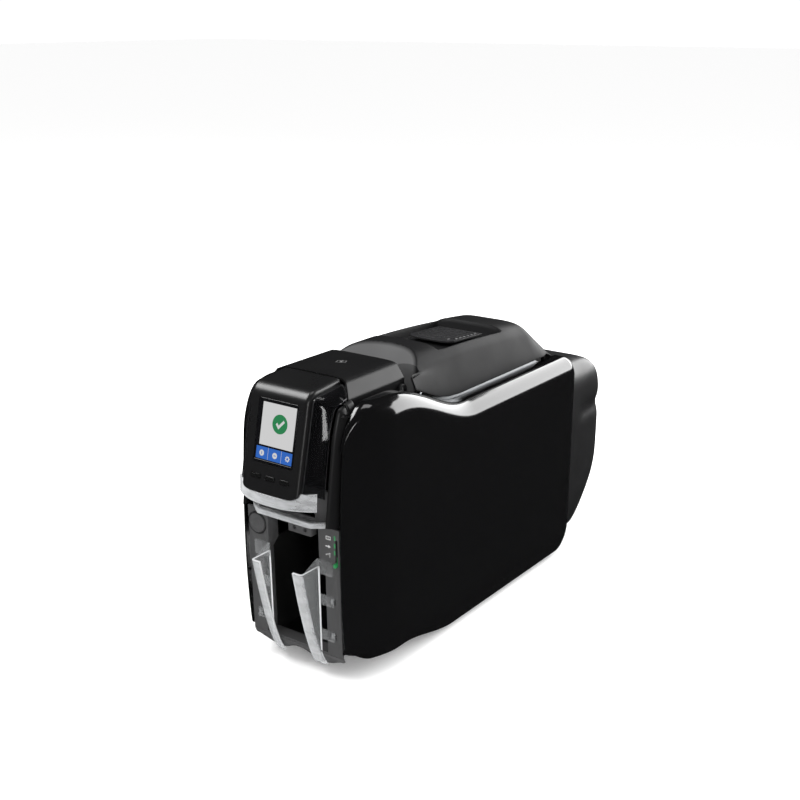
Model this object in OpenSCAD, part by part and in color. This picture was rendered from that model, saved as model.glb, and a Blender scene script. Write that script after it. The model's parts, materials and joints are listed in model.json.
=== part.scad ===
// Desktop card printer: side panels with a wave-shaped crown, a lift-up hopper door that
// carries the display, a rear-hinged ribbon cover, a clear card bin and a rear turn-over unit.
// Frame: X across, Y from front to back, Z up. The printer stands on Z = 0 and the frame's
// origin is the middle of its footprint. Sizes are in millimetres.

/* [Body] */
// Width over the two side panels
body_w = 158; // [150:1:190]
// Depth of the side panels
body_d = 400; // [380:5:480]
// Height of the level rear part of the side panels
panel_h = 231; // [226:1:240]
// Extra height of the crown at the front of the side panels
crown_h = 36.5; // [32:0.5:40]
// Height of the underside at the front, where the panels sweep up
chin_h = 16; // [12:1:20]
// Height of the underside at the back
skirt_h = 2; // [1.5:0.5:4]
// Wall of the side panels
panel_wall = 2.4; // [1.8:0.1:3]
// Radius of the rounded outer edges of the side panels
panel_edge_r = 9; // [6:0.5:11]
// Half of the gap between the side panels, which the front frame fills
mouth_half = 55; // [54:0.5:60]
// Thickness of the inner frame plates
plate_t = 2; // [1.5:0.1:2.4]

/* [Ribbon cover] */
// Width of the cover at its lower edges
cover_w = 120; // [116:1:124]
// Width of the cover's top face
cover_top_w = 96; // [90:1:100]
// Height of the cover's crown above the level part of the panels
cover_rise = 52; // [46:1:56]
// Wall of the ribbon cover
cover_wall = 2.6; // [2:0.1:3]
// Width of the release pad
pad_w = 54; // [46:1:58]
// Depth of the release pad
pad_d = 60; // [50:1:62]
// Travel of the release pad
pad_travel = 3; // [2:0.5:3.5]

/* [Hopper door] */
// Width of the display housing
bezel_w = 66; // [62:1:70]
// Width over the smoky window that wraps the display housing
window_w = 97; // [90:1:98]
// Wall of the door's shells
door_wall = 2.2; // [1.8:0.1:2.6]
// Reach of the door's lower edge in front of the side panels
nose_reach = 24; // [20:1:28]
// Width of the display glass
glass_w = 46; // [42:1:47]
// Height of the display glass
glass_h = 57; // [52:1:59]
// Travel of the three keys under the display
key_travel = 0.8; // [0.5:0.1:1]

/* [Card] */
// Length of a standard card
card_l = 85.6; // [85:0.1:86]
// Width of a standard card
card_w = 54; // [53:0.1:55]
// Thickness of a standard card
card_t = 0.76; // [0.6:0.02:0.9]
// Height of the card path above the table
path_z = 163; // [161:1:165]

/* [Front] */
// Wall of the clear bin guides
guide_wall = 2; // [1.6:0.1:2.6]
// Height of the bin floor
bin_floor_z = 22; // [21:1:23]
// Diameter of the power button
button_dia = 19; // [14:0.5:20]
// Travel of the power button
button_travel = 1.5; // [1:0.1:2]
// Travel of the card thickness lever
lever_travel = 21; // [15:1:24]

/* [Rear unit] */
// Depth of the rear turn-over unit
unit_d = 101; // [96:1:106]
// Width of the rear unit
unit_w = 126; // [120:1:134]
// Wall of the rear unit's cover
unit_wall = 2.4; // [1.8:0.1:3]

/* [Drive] */
// Diameter of the card transport rollers
roller_dia = 12; // [10:0.5:13]
// Diameter of every roller shaft
shaft_dia = 5; // [4:0.5:6]
// Running clearance in radius between a shaft and its bore
run_gap = 0.05; // [0.03:0.01:0.1]
// Diameter of the belt pulleys on the rollers
pulley_dia = 16; // [12:0.5:18]
// Diameter of the pulley on the motor
motor_pulley_dia = 12; // [10:0.5:14]
// Diameter of the pulley that the motor belt turns
platen_pulley_dia = 24; // [20:1:28]
// Diameter of a full ribbon roll
ribbon_roll_dia = 32; // [24:1:34]

/* [Hidden] */
$fn = 48;

// Gaps
seat = 0.3; // between pieces that rest beside each other
slip = 0.5; // between a moving piece and the opening that it moves in

// Places along the body, measured from the front line of the side panels
rear_y = body_d + unit_d;
mid_y = (rear_y - nose_reach) / 2;
crown_end = 72; // where the crown starts to fall
crown_fall = 123; // length of the fall
plate_x = mouth_half - seat - plate_t - 1;
frame_y = 8; // front face of the front frame
frame_t = 2.5;
plate_front = frame_y + frame_t;
plate_rear = body_d - 14;

// Rollers
card_guide_half = card_w / 2 + 0.6;
feed_y = 62;
entry_y = 136;
clean_y = 172;
platen_y = 212;
exit_y = 288;
tail_y = 362;
roller_z = path_z - roller_dia / 2;
pinch_z = path_z + card_t + roller_dia / 2;
bore_dia = shaft_dia + 2 * run_gap;
shaft_end = plate_x + plate_t + 1.5;
belt_t = 1.2;
belt_w = 5;
row_belt_x = plate_x + plate_t + 1.5;
motor_belt_x = row_belt_x + belt_w + 2.5;
motor_z = 92;

// Door
door_pin_y = 110;
door_pin_z = panel_h + 28;
lid_half = window_w / 2 - 0.5;
ear_x = lid_half + 1;

// Cover
cover_pin_y = body_d - 22;
cover_pin_z = panel_h - 14;
cover_front = 138;
cover_rear = body_d + 1;
cover_top = panel_h + cover_rise;
spool_y = [platen_y - 48, platen_y + 48];
spool_z = path_z + 52;
pin_dia = 5;

// Rear unit
flip_y = body_d + card_l / 2 + 4.2;
flip_half = 29;
unit_half = unit_w / 2;
unit_plate_x = card_guide_half + 11;

function clamp01(t) = min(1, max(0, t));
function smooth(t) = let(u = clamp01(t)) u * u * (3 - 2 * u);
function quarter(t) = 1 - sqrt(max(0, 1 - pow(clamp01(t), 2)));
function mix(a, b, t) = a + (b - a) * t;

// ---- Free-form shells: a grid of outer points, and the same grid moved inwards ----

function grid_normal(g, r, c) =
    let(
        rows = len(g) - 1,
        cols = len(g[0]) - 1,
        u = g[min(r + 1, rows)][c] - g[max(r - 1, 0)][c],
        v = g[r][min(c + 1, cols)] - g[r][max(c - 1, 0)],
        n = cross(u, v)
    ) n / norm(n);

function inset_grid(g, walls) = [
    for (r = [0:len(g) - 1]) [
        for (c = [0:len(g[0]) - 1]) g[r][c] - walls[r] * grid_normal(g, r, c)
    ]
];

function even_walls(g, wall) = [for (row = g) wall];

function quad(a, b, c, d) = [[a, b, c], [a, c, d]];

// A curved sheet with thickness; outer has its outside where row x column points
module sheet(outer, inner) {
    rows = len(outer);
    cols = len(outer[0]);
    n = rows * cols;
    last_r = rows - 1;
    last_c = cols - 1;
    function o(r, c) = r * cols + c;
    function i(r, c) = n + r * cols + c;
    faces = concat(
        [for (r = [0:rows - 2], c = [0:cols - 2])
            each quad(o(r, c), o(r, c + 1), o(r + 1, c + 1), o(r + 1, c))],
        [for (r = [0:rows - 2], c = [0:cols - 2])
            each quad(i(r, c), i(r + 1, c), i(r + 1, c + 1), i(r, c + 1))],
        [for (r = [0:rows - 2]) each quad(o(r, 0), o(r + 1, 0), i(r + 1, 0), i(r, 0))],
        [for (r = [0:rows - 2])
            each quad(o(r + 1, last_c), o(r, last_c), i(r, last_c), i(r + 1, last_c))],
        [for (c = [0:cols - 2]) each quad(o(0, c + 1), o(0, c), i(0, c), i(0, c + 1))],
        [for (c = [0:cols - 2])
            each quad(o(last_r, c), o(last_r, c + 1), i(last_r, c + 1), i(last_r, c))]
    );
    polyhedron([for (row = outer) each row, for (row = inner) each row], faces, convexity = 8);
}

// A shell of closed rings, open at its first ring and closed by a cap at its last one
module ring_cup(outer, inner) {
    rows = len(outer);
    cols = len(outer[0]);
    n = rows * cols;
    outer_hub = 2 * n;
    inner_hub = 2 * n + 1;
    function o(r, c) = r * cols + c % cols;
    function i(r, c) = n + r * cols + c % cols;
    function centre(ring) = [for (p = ring) 1] * ring / len(ring);
    faces = concat(
        [for (r = [0:rows - 2], c = [0:cols - 1])
            each quad(o(r, c), o(r, c + 1), o(r + 1, c + 1), o(r + 1, c))],
        [for (r = [0:rows - 2], c = [0:cols - 1])
            each quad(i(r, c), i(r + 1, c), i(r + 1, c + 1), i(r, c + 1))],
        [for (c = [0:cols - 1]) each quad(o(0, c + 1), o(0, c), i(0, c), i(0, c + 1))],
        [for (c = [0:cols - 1]) [o(rows - 1, c), o(rows - 1, c + 1), outer_hub]],
        [for (c = [0:cols - 1]) [i(rows - 1, c + 1), i(rows - 1, c), inner_hub]]
    );
    points = [
        for (row = outer) each row,
        for (row = inner) each row,
        centre(outer[rows - 1]),
        centre(inner[rows - 1])
    ];
    polyhedron(points, faces, convexity = 8);
}

// ---- Small shared shapes ----

// Everything below is drawn from the front line of the panels and set into the part's frame
module placed() { translate([0, -mid_y, 0]) children(); }

// A profile drawn in Y and Z, with its depth along X from x0 to x1
module along_x(x0, x1) {
    translate([x0, 0, 0]) rotate([90, 0, 90]) linear_extrude(x1 - x0) children();
}

// A profile drawn in X and Z, with its depth along Y from y0 to y1
module along_y(y0, y1) {
    translate([0, y1, 0]) rotate([90, 0, 0]) linear_extrude(y1 - y0) children();
}

module block(x0, x1, y0, y1, z0, z1) { translate([x0, y0, z0]) cube([x1 - x0, y1 - y0, z1 - z0]); }

module rod_x(x0, x1, y, z, d) {
    translate([x0, y, z]) rotate([0, 90, 0]) cylinder(d = d, h = x1 - x0);
}

module rod_y(y0, y1, x, z, d) {
    translate([x, y1, z]) rotate([90, 0, 0]) cylinder(d = d, h = y1 - y0);
}

module rounded(w, h, r) {
    square([w - 2 * r, h], center = true);
    square([w, h - 2 * r], center = true);
    for (x = [-1, 1], y = [-1, 1])
        translate([x * (w / 2 - r), y * (h / 2 - r)]) circle(r);
}

module both_sides() {
    children();
    mirror([1, 0, 0]) children();
}

// ---- Side panels ----

panel_in = mouth_half + slip;
panel_half = body_w / 2;
panel_rim = 2.6; // width of the panel's front edge
bow_len = 62; // length over which the panel bows out from its front edge
front_top_r = [36, 40]; // depth and height of the rounded corner
rear_bottom_r = [30, 55];
rear_top_r = 15;
waist_z = 100; // height at which the front edge stands farthest forward
waist_y = 5;

// How far the front edge lies behind the panel's own station
function lean(z) = waist_y + (z < waist_z
    ? 4 * pow((waist_z - z) / 80, 2)
    : 6.5 * pow((z - waist_z) / 124, 2));

function panel_out(t) =
    let(
        bow = 1 - pow(1 - clamp01(t / bow_len), 1.5),
        rear = quarter((t - (body_d - 14)) / 14)
    ) mix(panel_in + panel_rim, panel_half, bow) - 7 * rear;

function panel_level(t) = panel_h + crown_h * (1 - smooth((t - crown_end) / crown_fall));

function panel_top(t) = panel_level(t)
    - front_top_r[1] * quarter((front_top_r[0] - t) / front_top_r[0])
    - rear_top_r * quarter((t - (body_d - rear_top_r)) / rear_top_r);

function panel_under(t) = mix(chin_h, skirt_h, smooth((t - 75) / 85))
    + 14 * (1 - smooth(t / 30))
    + rear_bottom_r[1] * quarter((t - (body_d - rear_bottom_r[0])) / rear_bottom_r[0]);

function panel_stations() = concat(
    [for (i = [0:9]) bow_len * pow(i / 10, 1.6)],
    [for (i = [0:9]) mix(bow_len, crown_end + crown_fall, i / 9)],
    [(crown_end + crown_fall + body_d) / 2],
    [for (i = [0:8]) body_d - rear_bottom_r[0] * (1 - sin(90 * i / 8))]
);

// One section of the right panel, from its lower inner edge round to its upper inner edge
function panel_section(t) =
    let(
        out = panel_out(t),
        r = min(panel_edge_r, 0.8 * (out - panel_in)),
        low = panel_under(t),
        high = panel_top(t),
        ring = concat(
            [[panel_in, low]],
            [for (i = [0:4]) [out - r + r * sin(22.5 * i), low + r - r * cos(22.5 * i)]],
            [for (i = [1:5]) [out, mix(low + r, high - r, i / 6)]],
            [for (i = [0:5]) [out - r + r * cos(18 * i), high - r + r * sin(18 * i)]],
            [[panel_in, high]]
        )
    ) [for (p = ring) [p[0], t + lean(p[1]) * (1 - smooth(t / 80)), p[1]]];

boss_spots = [[84, 52], [84, 206], [322, 44], [322, 196]];

module side_panel() {
    stations = panel_stations();
    outer = [for (t = stations) panel_section(t)];
    walls = [for (t = stations) min(panel_wall, 0.4 * (panel_out(t) - panel_in))];
    sheet(outer, inset_grid(outer, walls));
    for (spot = boss_spots)
        difference() {
            rod_x(plate_x + plate_t, panel_half - 0.6 * panel_wall, spot[0], spot[1], 8);
            rod_x(plate_x, plate_x + plate_t + 12, spot[0], spot[1], 3);
        }
}

module side_panel_right() { color([0.05, 0.05, 0.06]) placed() side_panel(); }
module side_panel_left() { color([0.05, 0.05, 0.06]) placed() mirror([1, 0, 0]) side_panel(); }

module panel_screws() {
    color("silver") placed() both_sides()
        for (spot = boss_spots) {
            rod_x(plate_x - 2, plate_x, spot[0], spot[1], 6);
            rod_x(plate_x - 1, plate_x + plate_t + 9, spot[0], spot[1], 2.9);
        }
}

// ---- Inner frame ----

tray_t = 2.5;
tray_gap = 0.6;
tray_front = 34;
function tray_under(y) = panel_under(y) + tray_gap;
tray_stations = [for (i = [0:44]) mix(tray_front, plate_rear, i / 44)];

// Bores that both plates share: transport shafts, pinch rollers and the cleaning roller
shaft_spots = [
    [feed_y, roller_z], [entry_y, roller_z], [platen_y, roller_z], [exit_y, roller_z],
    [tail_y, roller_z], [entry_y, pinch_z], [exit_y, pinch_z], [tail_y, pinch_z],
    [clean_y, pinch_z]
];
rod_spots = [[108, 135], [120, 30], [330, 30], [cover_pin_y - 4, panel_h - 41]];
rod_dia = 6;

// The plates rise above the panels under the ribbon cover, and stay below their crown in front
function plate_top(y) =
    y > crown_end + 58
        ? panel_level(y) + 4 - 13 * smooth((y - cover_pin_y + 38) / 36)
        : panel_top(y) - 9;

module plate_outline() {
    steps = concat([for (i = [0:2]) mix(plate_front, tray_front, i / 3)], tray_stations);
    polygon(concat(
        [for (y = steps) [y, tray_under(y) + tray_t + 0.2]],
        [for (i = [len(steps) - 1:-1:0]) [steps[i], plate_top(steps[i])]]
    ));
}

module plate_windows() {
    translate([70, 100]) rounded(60, 70, 10);
    translate([160, 80]) rounded(60, 90, 10);
    translate([290, 90]) rounded(70, 80, 10);
}

module frame_plate() {
    difference() {
        along_x(plate_x, plate_x + plate_t) difference() {
            plate_outline();
            plate_windows();
        }
        for (spot = shaft_spots) rod_x(0, body_w, spot[0], spot[1], bore_dia);
        for (spot = boss_spots) rod_x(0, body_w, spot[0], spot[1], 3.2);
        for (spot = rod_spots) rod_x(0, body_w, spot[0], spot[1], 3.2);
        rod_x(0, body_w, cover_pin_y, cover_pin_z, pin_dia);
        // room behind the power button, the thickness lever and the door's rear strips
        block(0, body_w, 0, frame_y + 16, lever_z - 6, door_pin_z);
        block(0, body_w, 0, frame_y + 26, door_pin_z - 19, door_pin_z);
        for (y = spool_y) rod_x(0, body_w, y, spool_z, spindle_dia + 2 * run_gap);
    }
}

module frame_plate_right() { color([0.3, 0.31, 0.33]) placed() frame_plate(); }

module frame_plate_left() {
    color([0.3, 0.31, 0.33]) placed() mirror([1, 0, 0]) difference() {
        frame_plate();
        rod_x(0, body_w, platen_y, motor_z, 14);
    }
}

module tie_rods() {
    color("silver") placed() for (spot = rod_spots) {
        rod_x(-plate_x, plate_x, spot[0], spot[1], rod_dia);
        rod_x(-plate_x - plate_t - 2, plate_x + plate_t + 2, spot[0], spot[1], 3);
    }
}

module base_tray() {
    half = mouth_half - seat;
    steps = tray_stations;
    color([0.12, 0.12, 0.13]) placed() difference() {
        union() {
            along_x(-half, half) polygon(concat(
                [for (y = steps) [y, tray_under(y)]],
                [for (i = [len(steps) - 1:-1:0]) [steps[i], tray_under(steps[i]) + tray_t]]
            ));
            both_sides() along_x(plate_x - 2.2, plate_x) polygon(concat(
                [for (y = steps) [y, tray_under(y) + 1]],
                [for (i = [len(steps) - 1:-1:0]) [steps[i], tray_under(steps[i]) + 10]]
            ));
            for (y = [180:40:320]) block(-plate_x, plate_x, y, y + 2, skirt_h + 1, skirt_h + 8);
        }
        for (x = [-32:8:32], y = [205, 245])
            translate([x, y, -1]) linear_extrude(20) rounded(3, 26, 1.4);
    }
}

foot_spots = [[42, 178], [42, body_d - 42]];

module rubber_feet() {
    color([0.08, 0.08, 0.08]) placed() both_sides() for (spot = foot_spots)
        translate([spot[0], spot[1], 0]) {
            cylinder(d = 18, h = tray_under(200));
        }
}

module hinge_pins() {
    color("silver") placed() both_sides() {
        rod_x(plate_x - 6, plate_x + plate_t, cover_pin_y, cover_pin_z, pin_dia);
        rod_x(ear_x - 5.5, ear_x + 2, door_pin_y, door_pin_z, pin_dia);
    }
}

// ---- Front ----

frame_half = mouth_half - seat;
frame_top = 190;
mouth_top = 152;
mouth_low = bin_floor_z + 5;
column_low = card_guide_half + 10;
column_high = card_guide_half + 3;
button_x = -(frame_half + column_high) / 2 - 1;
button_z = 139;
lever_x = frame_half - 3.6;
lever_z = 118;

module mouth_outline(grow) {
    low = column_low + grow;
    high = column_high + grow;
    polygon([
        [-low, mouth_low - grow], [low, mouth_low - grow], [low, 112], [high, 124],
        [high, mouth_top + grow], [-high, mouth_top + grow], [-high, 124], [-low, 112]
    ]);
}

module front_frame() {
    color([0.32, 0.32, 0.33]) placed() {
        difference() {
            union() {
                along_y(frame_y, frame_y + frame_t) difference() {
                    translate([-frame_half, mouth_low - 2])
                        square([2 * frame_half, frame_top - mouth_low + 2]);
                    mouth_outline(0);
                }
                along_y(frame_y, frame_y + 14) difference() {
                    mouth_outline(2);
                    mouth_outline(0);
                }
            }
            // power button
            rod_y(frame_y - 1, frame_y + 9, button_x, button_z, button_dia + 2 * slip);
            // slot of the thickness lever
            block(lever_x - 1.5, lever_x + 1.5, frame_y - 1, frame_y + 9,
                lever_z, lever_z + lever_travel + 6);
            // feed slot, just above the card path
            block(-card_guide_half, card_guide_half, frame_y - 1, frame_y + 20,
                path_z - 2, path_z + 4.5);
            // corners that make room for the door's rear strips
            both_sides()
                block(window_half - 1.5, body_w, frame_y - 1, frame_y + 20, path_z - 8, frame_top + 1);
            // snap slots of the bin guides
            for (z = [46, 82]) both_sides()
                block(column_low + 5.5, column_low + 11, frame_y - 1, frame_y + 4, z - 3, z + 3);
        }
        // sensor block that hangs into the mouth
        difference() {
            block(-5, 22, frame_y, frame_y + 8, mouth_top - 11, mouth_top);
            for (x = [2, 15]) rod_y(frame_y - 1, frame_y + 3, x, mouth_top - 6, 4);
        }
    }
}

lip_top = path_z - 2 - seat;

module feed_lip() {
    back = card_guide_half + 20;
    front = card_guide_half + 4;
    color([0.8, 0.83, 0.85, 0.5]) placed() difference() {
        translate([0, 0, lip_top - 5]) linear_extrude(5)
            polygon([[-back, frame_y], [-front, -4], [front, -4], [back, frame_y]]);
        translate([0, 0, lip_top - 3.2]) linear_extrude(5)
            polygon([[-back + 5, frame_y + 1], [-front + 2, -1.6], [front - 2, -1.6],
                [back - 5, frame_y + 1]]);
    }
}

// Depth of the bin guides' front edge at height z
guide_top = 114;
guide_low = 9;
guide_r = 4;
bend_levels = [for (i = [0:5]) mix(guide_low, mouth_low - 2.4, pow(i / 5, 1.3))];
function guide_front(z) = 13.5 - 31 * pow(clamp01((z - guide_low) / (guide_top - guide_low)), 0.6);

module bin_guide() {
    inner = card_guide_half + 1.2;
    outer_x = inner + guide_wall;
    levels = concat(
        bend_levels,
        [for (i = [1:7]) mix(bend_levels[5], guide_top, pow(i / 7, 1.2))]
    );
    grid = [for (z = levels)
        let(f = guide_front(z), r = guide_r)
        concat(
            [for (i = [0:2]) [outer_x, mix(max(frame_y, f + r + 0.3), f + r, i / 2), z]],
            [for (i = [1:4]) [outer_x - r + r * cos(22.5 * i), f + r - r * sin(22.5 * i), z]],
            [for (i = [1:2]) [mix(outer_x - r, outer_x - 11, i / 2), f, z]]
        )];
    sheet(grid, inset_grid(grid, even_walls(grid, guide_wall)));
    // sloping shoulder up to the frame, and the flange that snaps into it
    along_x(inner, outer_x) polygon([
        [guide_front(guide_top) + 4, guide_top - 1], [frame_y, guide_top - 1],
        [frame_y, guide_top + 8], [frame_y - 3, guide_top + 8]
    ]);
    block(inner, column_low + 9, frame_y - guide_wall, frame_y, guide_top - 6, guide_top + 8);
    for (z = [46, 82]) {
        block(outer_x - 0.5, column_low + 9, frame_y - guide_wall, frame_y, z - 5, z + 5);
        block(column_low + 6, column_low + 9, frame_y - 1, frame_y + frame_t, z - 2.5, z + 2.5);
    }
}

module bin_guide_right() { color([0.85, 0.88, 0.9, 0.4]) placed() bin_guide(); }
module bin_guide_left() { color([0.85, 0.88, 0.9, 0.4]) placed() mirror([1, 0, 0]) bin_guide(); }

// Card bin: a moulded box behind the mouth, with the arched chin at its front
bin_rear = 100;
chin_dip = 28;
function chin_edge(x) = chin_h - 1 - 5 * cos(180 * (abs(x) - chin_dip) / chin_dip);

chin_wall = 2.5;
function chin_front(z) = guide_front(z) + guide_r + 0.3 + seat;

module bin_floor() {
    xs = [for (i = [-12:12]) frame_half * i / 12];
    wall = 2;
    color([0.35, 0.35, 0.36]) placed() {
        // the chin curves back under the guides and ends in a double arch
        intersection() {
            along_x(-frame_half, frame_half) polygon(concat(
                [for (z = bend_levels) [chin_front(z), z]],
                [for (i = [5:-1:0]) [chin_front(bend_levels[i]) + chin_wall, bend_levels[i]]]
            ));
            along_y(0, frame_y + 20) polygon(concat(
                [for (x = xs) [x, chin_edge(x)]],
                [[frame_half, mouth_low], [-frame_half, mouth_low]]
            ));
        }
        block(-column_low - wall, column_low + wall, frame_y + 3, bin_rear,
            tray_under(50) + tray_t, bin_floor_z);
        both_sides() block(column_low, column_low + wall, frame_y + 14 + seat, bin_rear,
            bin_floor_z - 1, 120);
        block(-column_low - wall, column_low + wall, bin_rear - wall, bin_rear,
            bin_floor_z - 1, 120);
    }
}

module power_button() {
    color([0.2, 0.2, 0.21]) placed() difference() {
        union() {
            rod_y(frame_y - button_travel + 0.3, frame_y + 7, button_x, button_z, button_dia);
            rod_y(frame_y + frame_t + seat, frame_y + frame_t + 2, button_x, button_z,
                button_dia + 2);
        }
        translate([button_x, frame_y - 15.5, button_z]) sphere(d = 30);
    }
}

module thickness_lever() {
    color([0.1, 0.5, 0.25]) placed() {
        block(lever_x - 1.2, lever_x + 1.2, frame_y - 3.5, frame_y + frame_t + 4,
            lever_z + 1, lever_z + 4.5);
        block(lever_x - 2.4, lever_x + 1.8, frame_y + frame_t + seat, frame_y + frame_t + 2.5,
            lever_z - 3, lever_z + 8.5);
    }
}

// ---- Hopper ----

cradle_wall = 2;
cradle_rear = frame_y + card_l + 6.4;

module hopper_cradle() {
    outer = card_guide_half + cradle_wall;
    shelf_z = 175;
    color([0.15, 0.15, 0.16]) placed() {
        // floor that the stack lies on, with the window for the feed roller
        difference() {
            block(-outer, outer, frame_y + 14, cradle_rear, path_z - 2.5, path_z);
            block(-22, 22, feed_y - roller_dia / 2 - 1.5, feed_y + roller_dia / 2 + 1.5,
                path_z - 4, path_z + 1);
        }
        both_sides() {
            block(card_guide_half, outer, frame_y + 14, cradle_rear, path_z - 2.5, 232);
            block(outer - 0.5, plate_x, frame_y + 20, cradle_rear, shelf_z, shelf_z + 2);
            difference() {
                union() {
                    along_x(ear_x, plate_x) polygon([
                        [cradle_rear - 24, shelf_z], [cradle_rear, shelf_z],
                        [door_pin_y + 6, door_pin_z - 8], [door_pin_y + 6, door_pin_z],
                        [door_pin_y - 6, door_pin_z], [door_pin_y - 6, door_pin_z - 12]
                    ]);
                    rod_x(ear_x, plate_x, door_pin_y, door_pin_z, 12);
                }
                rod_x(ear_x - 1, plate_x + 1, door_pin_y, door_pin_z, pin_dia);
            }
        }
        // rear wall with the gate that lets one card through
        block(-outer, outer, cradle_rear - cradle_wall, cradle_rear, path_z + 2 * card_t, 232);
    }
}

// ---- Hopper door ----

door_tilt = 13.5;
door_foot_z = 187;
bend_r = 14.5;
bend_end = 85; // the top face falls 5 degrees towards the front
seam = [42, panel_h + 52.5];
top_len = 31.5;
bend_start_y = seam[0] - top_len * sin(bend_end) + bend_r * (cos(bend_end) - cos(door_tilt));
bend_start_z = seam[1] - top_len * cos(bend_end) - bend_r * (sin(bend_end) - sin(door_tilt));
face_len = (bend_start_z - door_foot_z) / cos(door_tilt);
bend_len = bend_r * PI * (bend_end - door_tilt) / 180;
door_len = face_len + bend_len + top_len;

// Place [y, z] and slope of the door's outer face at distance s from its lower edge
function door_path(s) =
    s < face_len
        ? let(back = face_len - s)
            [bend_start_y - back * sin(door_tilt), bend_start_z - back * cos(door_tilt),
                90 - door_tilt]
        : s < face_len + bend_len
        ? let(a = door_tilt + (s - face_len) / bend_r * 180 / PI)
            [bend_start_y + bend_r * (cos(door_tilt) - cos(a)),
                bend_start_z + bend_r * (sin(a) - sin(door_tilt)), 90 - a]
        : let(rest = door_len - s)
            [seam[0] - rest * sin(bend_end), seam[1] - rest * cos(bend_end), 90 - bend_end];

function door_rows() = concat(
    [for (i = [0:5]) 0.6 * i / 5],
    [for (i = [1:8]) 0.6 + 0.19 * i / 8],
    [0.9, 1]
);

// A point d below the outer face at distance s
function under_face(x, s, d) =
    let(p = door_path(s)) [x, p[0] + d * sin(p[2]), p[1] - d * cos(p[2])];

module on_face(s) {
    p = door_path(s);
    translate([0, p[0], p[1]]) rotate([p[2], 0, 0]) children();
}

bezel_half = bezel_w / 2;
bezel_edge_r = 4;
bezel_side = 9;
corner_len = 12;
function foot_lift(x) = 8 * quarter((abs(x) - (bezel_half - corner_len)) / corner_len);

// Half of the section across the display housing: [x, depth], from the side to the middle
function bezel_half_section() = concat(
    [[bezel_half, bezel_side]],
    [for (a = [0:30:90])
        [bezel_half - bezel_edge_r * (1 - cos(a)), bezel_edge_r * (1 - sin(a))]],
    [[bezel_half / 2, 0]]
);

function mirrored(half) = concat(
    half,
    [[0, half[len(half) - 1][1]]],
    [for (i = [len(half) - 1:-1:0]) [-half[i][0], half[i][1]]]
);

glass_t = 1.6;
glass_x = 1;
glass_s = face_len - 1 - glass_h / 2;
key_s = 14.4;
key_pitch = 16.5;
key_size = [10.5, 4];
board_depth = 7.5;
post_x = 26.5;

module bezel_posts(d, top) {
    for (x = [-post_x, post_x], s = [12, face_len - 12]) on_face(s)
        translate([x, 0, -top]) cylinder(d = d, h = top - 1);
}

module door_bezel() {
    section = mirrored(bezel_half_section());
    outer = [for (f = door_rows())
        [for (p = section) under_face(p[0], mix(foot_lift(p[0]), door_len, f), p[1])]];
    color([0.08, 0.08, 0.09]) placed() difference() {
        union() {
            sheet(outer, inset_grid(outer, even_walls(outer, door_wall)));
            bezel_posts(5, board_depth);
        }
        on_face(glass_s) translate([glass_x, 0, 0]) {
            translate([0, 0, -glass_t]) linear_extrude(5)
                rounded(glass_w + 2 * seat, glass_h + 2 * seat, 2.5);
            translate([0, 0, -6]) linear_extrude(12) rounded(glass_w - 4, glass_h - 5, 1);
        }
        for (k = [-1:1]) on_face(key_s) translate([k * key_pitch, 0, -6]) linear_extrude(12)
            rounded(key_size[0] + 2 * seat, key_size[1] + 2 * seat, 1.2);
        on_face(12) for (x = [-post_x, post_x])
            translate([x, 0, -board_depth - 1]) cylinder(d = 2.4, h = 5);
    }
}

module display_glass() {
    color([0.03, 0.03, 0.035]) placed() on_face(glass_s) translate([glass_x, 0, -glass_t])
        linear_extrude(glass_t + 0.2) rounded(glass_w, glass_h, 2.2);
}

module display_panel() {
    color([0.75, 0.76, 0.78]) placed() on_face(glass_s) translate([glass_x, 0, -glass_t - 2.42])
        linear_extrude(2.4) rounded(glass_w - 5, glass_h - 6, 0.8);
}

module key_board() {
    color([0.05, 0.3, 0.15]) placed() on_face(face_len / 2 + 1)
        translate([0, 0, -board_depth - 1.6]) linear_extrude(1.6) rounded(58, face_len - 16, 2);
}

module door_key(k) {
    color([0.1, 0.1, 0.11]) placed() on_face(key_s) translate([k * key_pitch, 0, 0]) {
        translate([0, 0, -door_wall - 1]) linear_extrude(door_wall + 1.7)
            rounded(key_size[0], key_size[1], 1);
        translate([0, 0, -door_wall - 1.6 - seat]) linear_extrude(1.6)
            rounded(key_size[0] + 2.4, key_size[1] + 2, 1);
        translate([0, 0, -board_depth + key_travel + 0.1]) cylinder(d = 3, h = 3);
    }
}

module key_left() { door_key(-1); }
module key_middle() { door_key(0); }
module key_right() { door_key(1); }

// Smoky window: two flaring sides and the clear lip under the display housing
window_half = window_w / 2;
window_gap = 1;

function window_rear(f) =
    let(p = door_path(f * door_len)) [
        window_half,
        p[0] + 16 + 4 * max(0, 1 - f / 0.4) - 26 * smooth((f - 0.72) / 0.28),
        p[1] - 12.5 * smooth((f - 0.4) / 0.4)
    ];

module window_side() {
    rows = door_rows();
    outer = [for (f = rows)
        let(
            rear = window_rear(f),
            front = under_face(bezel_half + window_gap, max(f * door_len, 8), bezel_edge_r + 0.5)
        )
        [for (i = [0:6])
            let(u = 1 - i / 6, bend = pow(u, 1.6))
            [mix(front[0], rear[0], u), mix(front[1], rear[1], bend), mix(front[2], rear[2], bend)]]
    ];
    sheet(outer, inset_grid(outer, even_walls(outer, door_wall)));
}

lip_z = 177;

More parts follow.
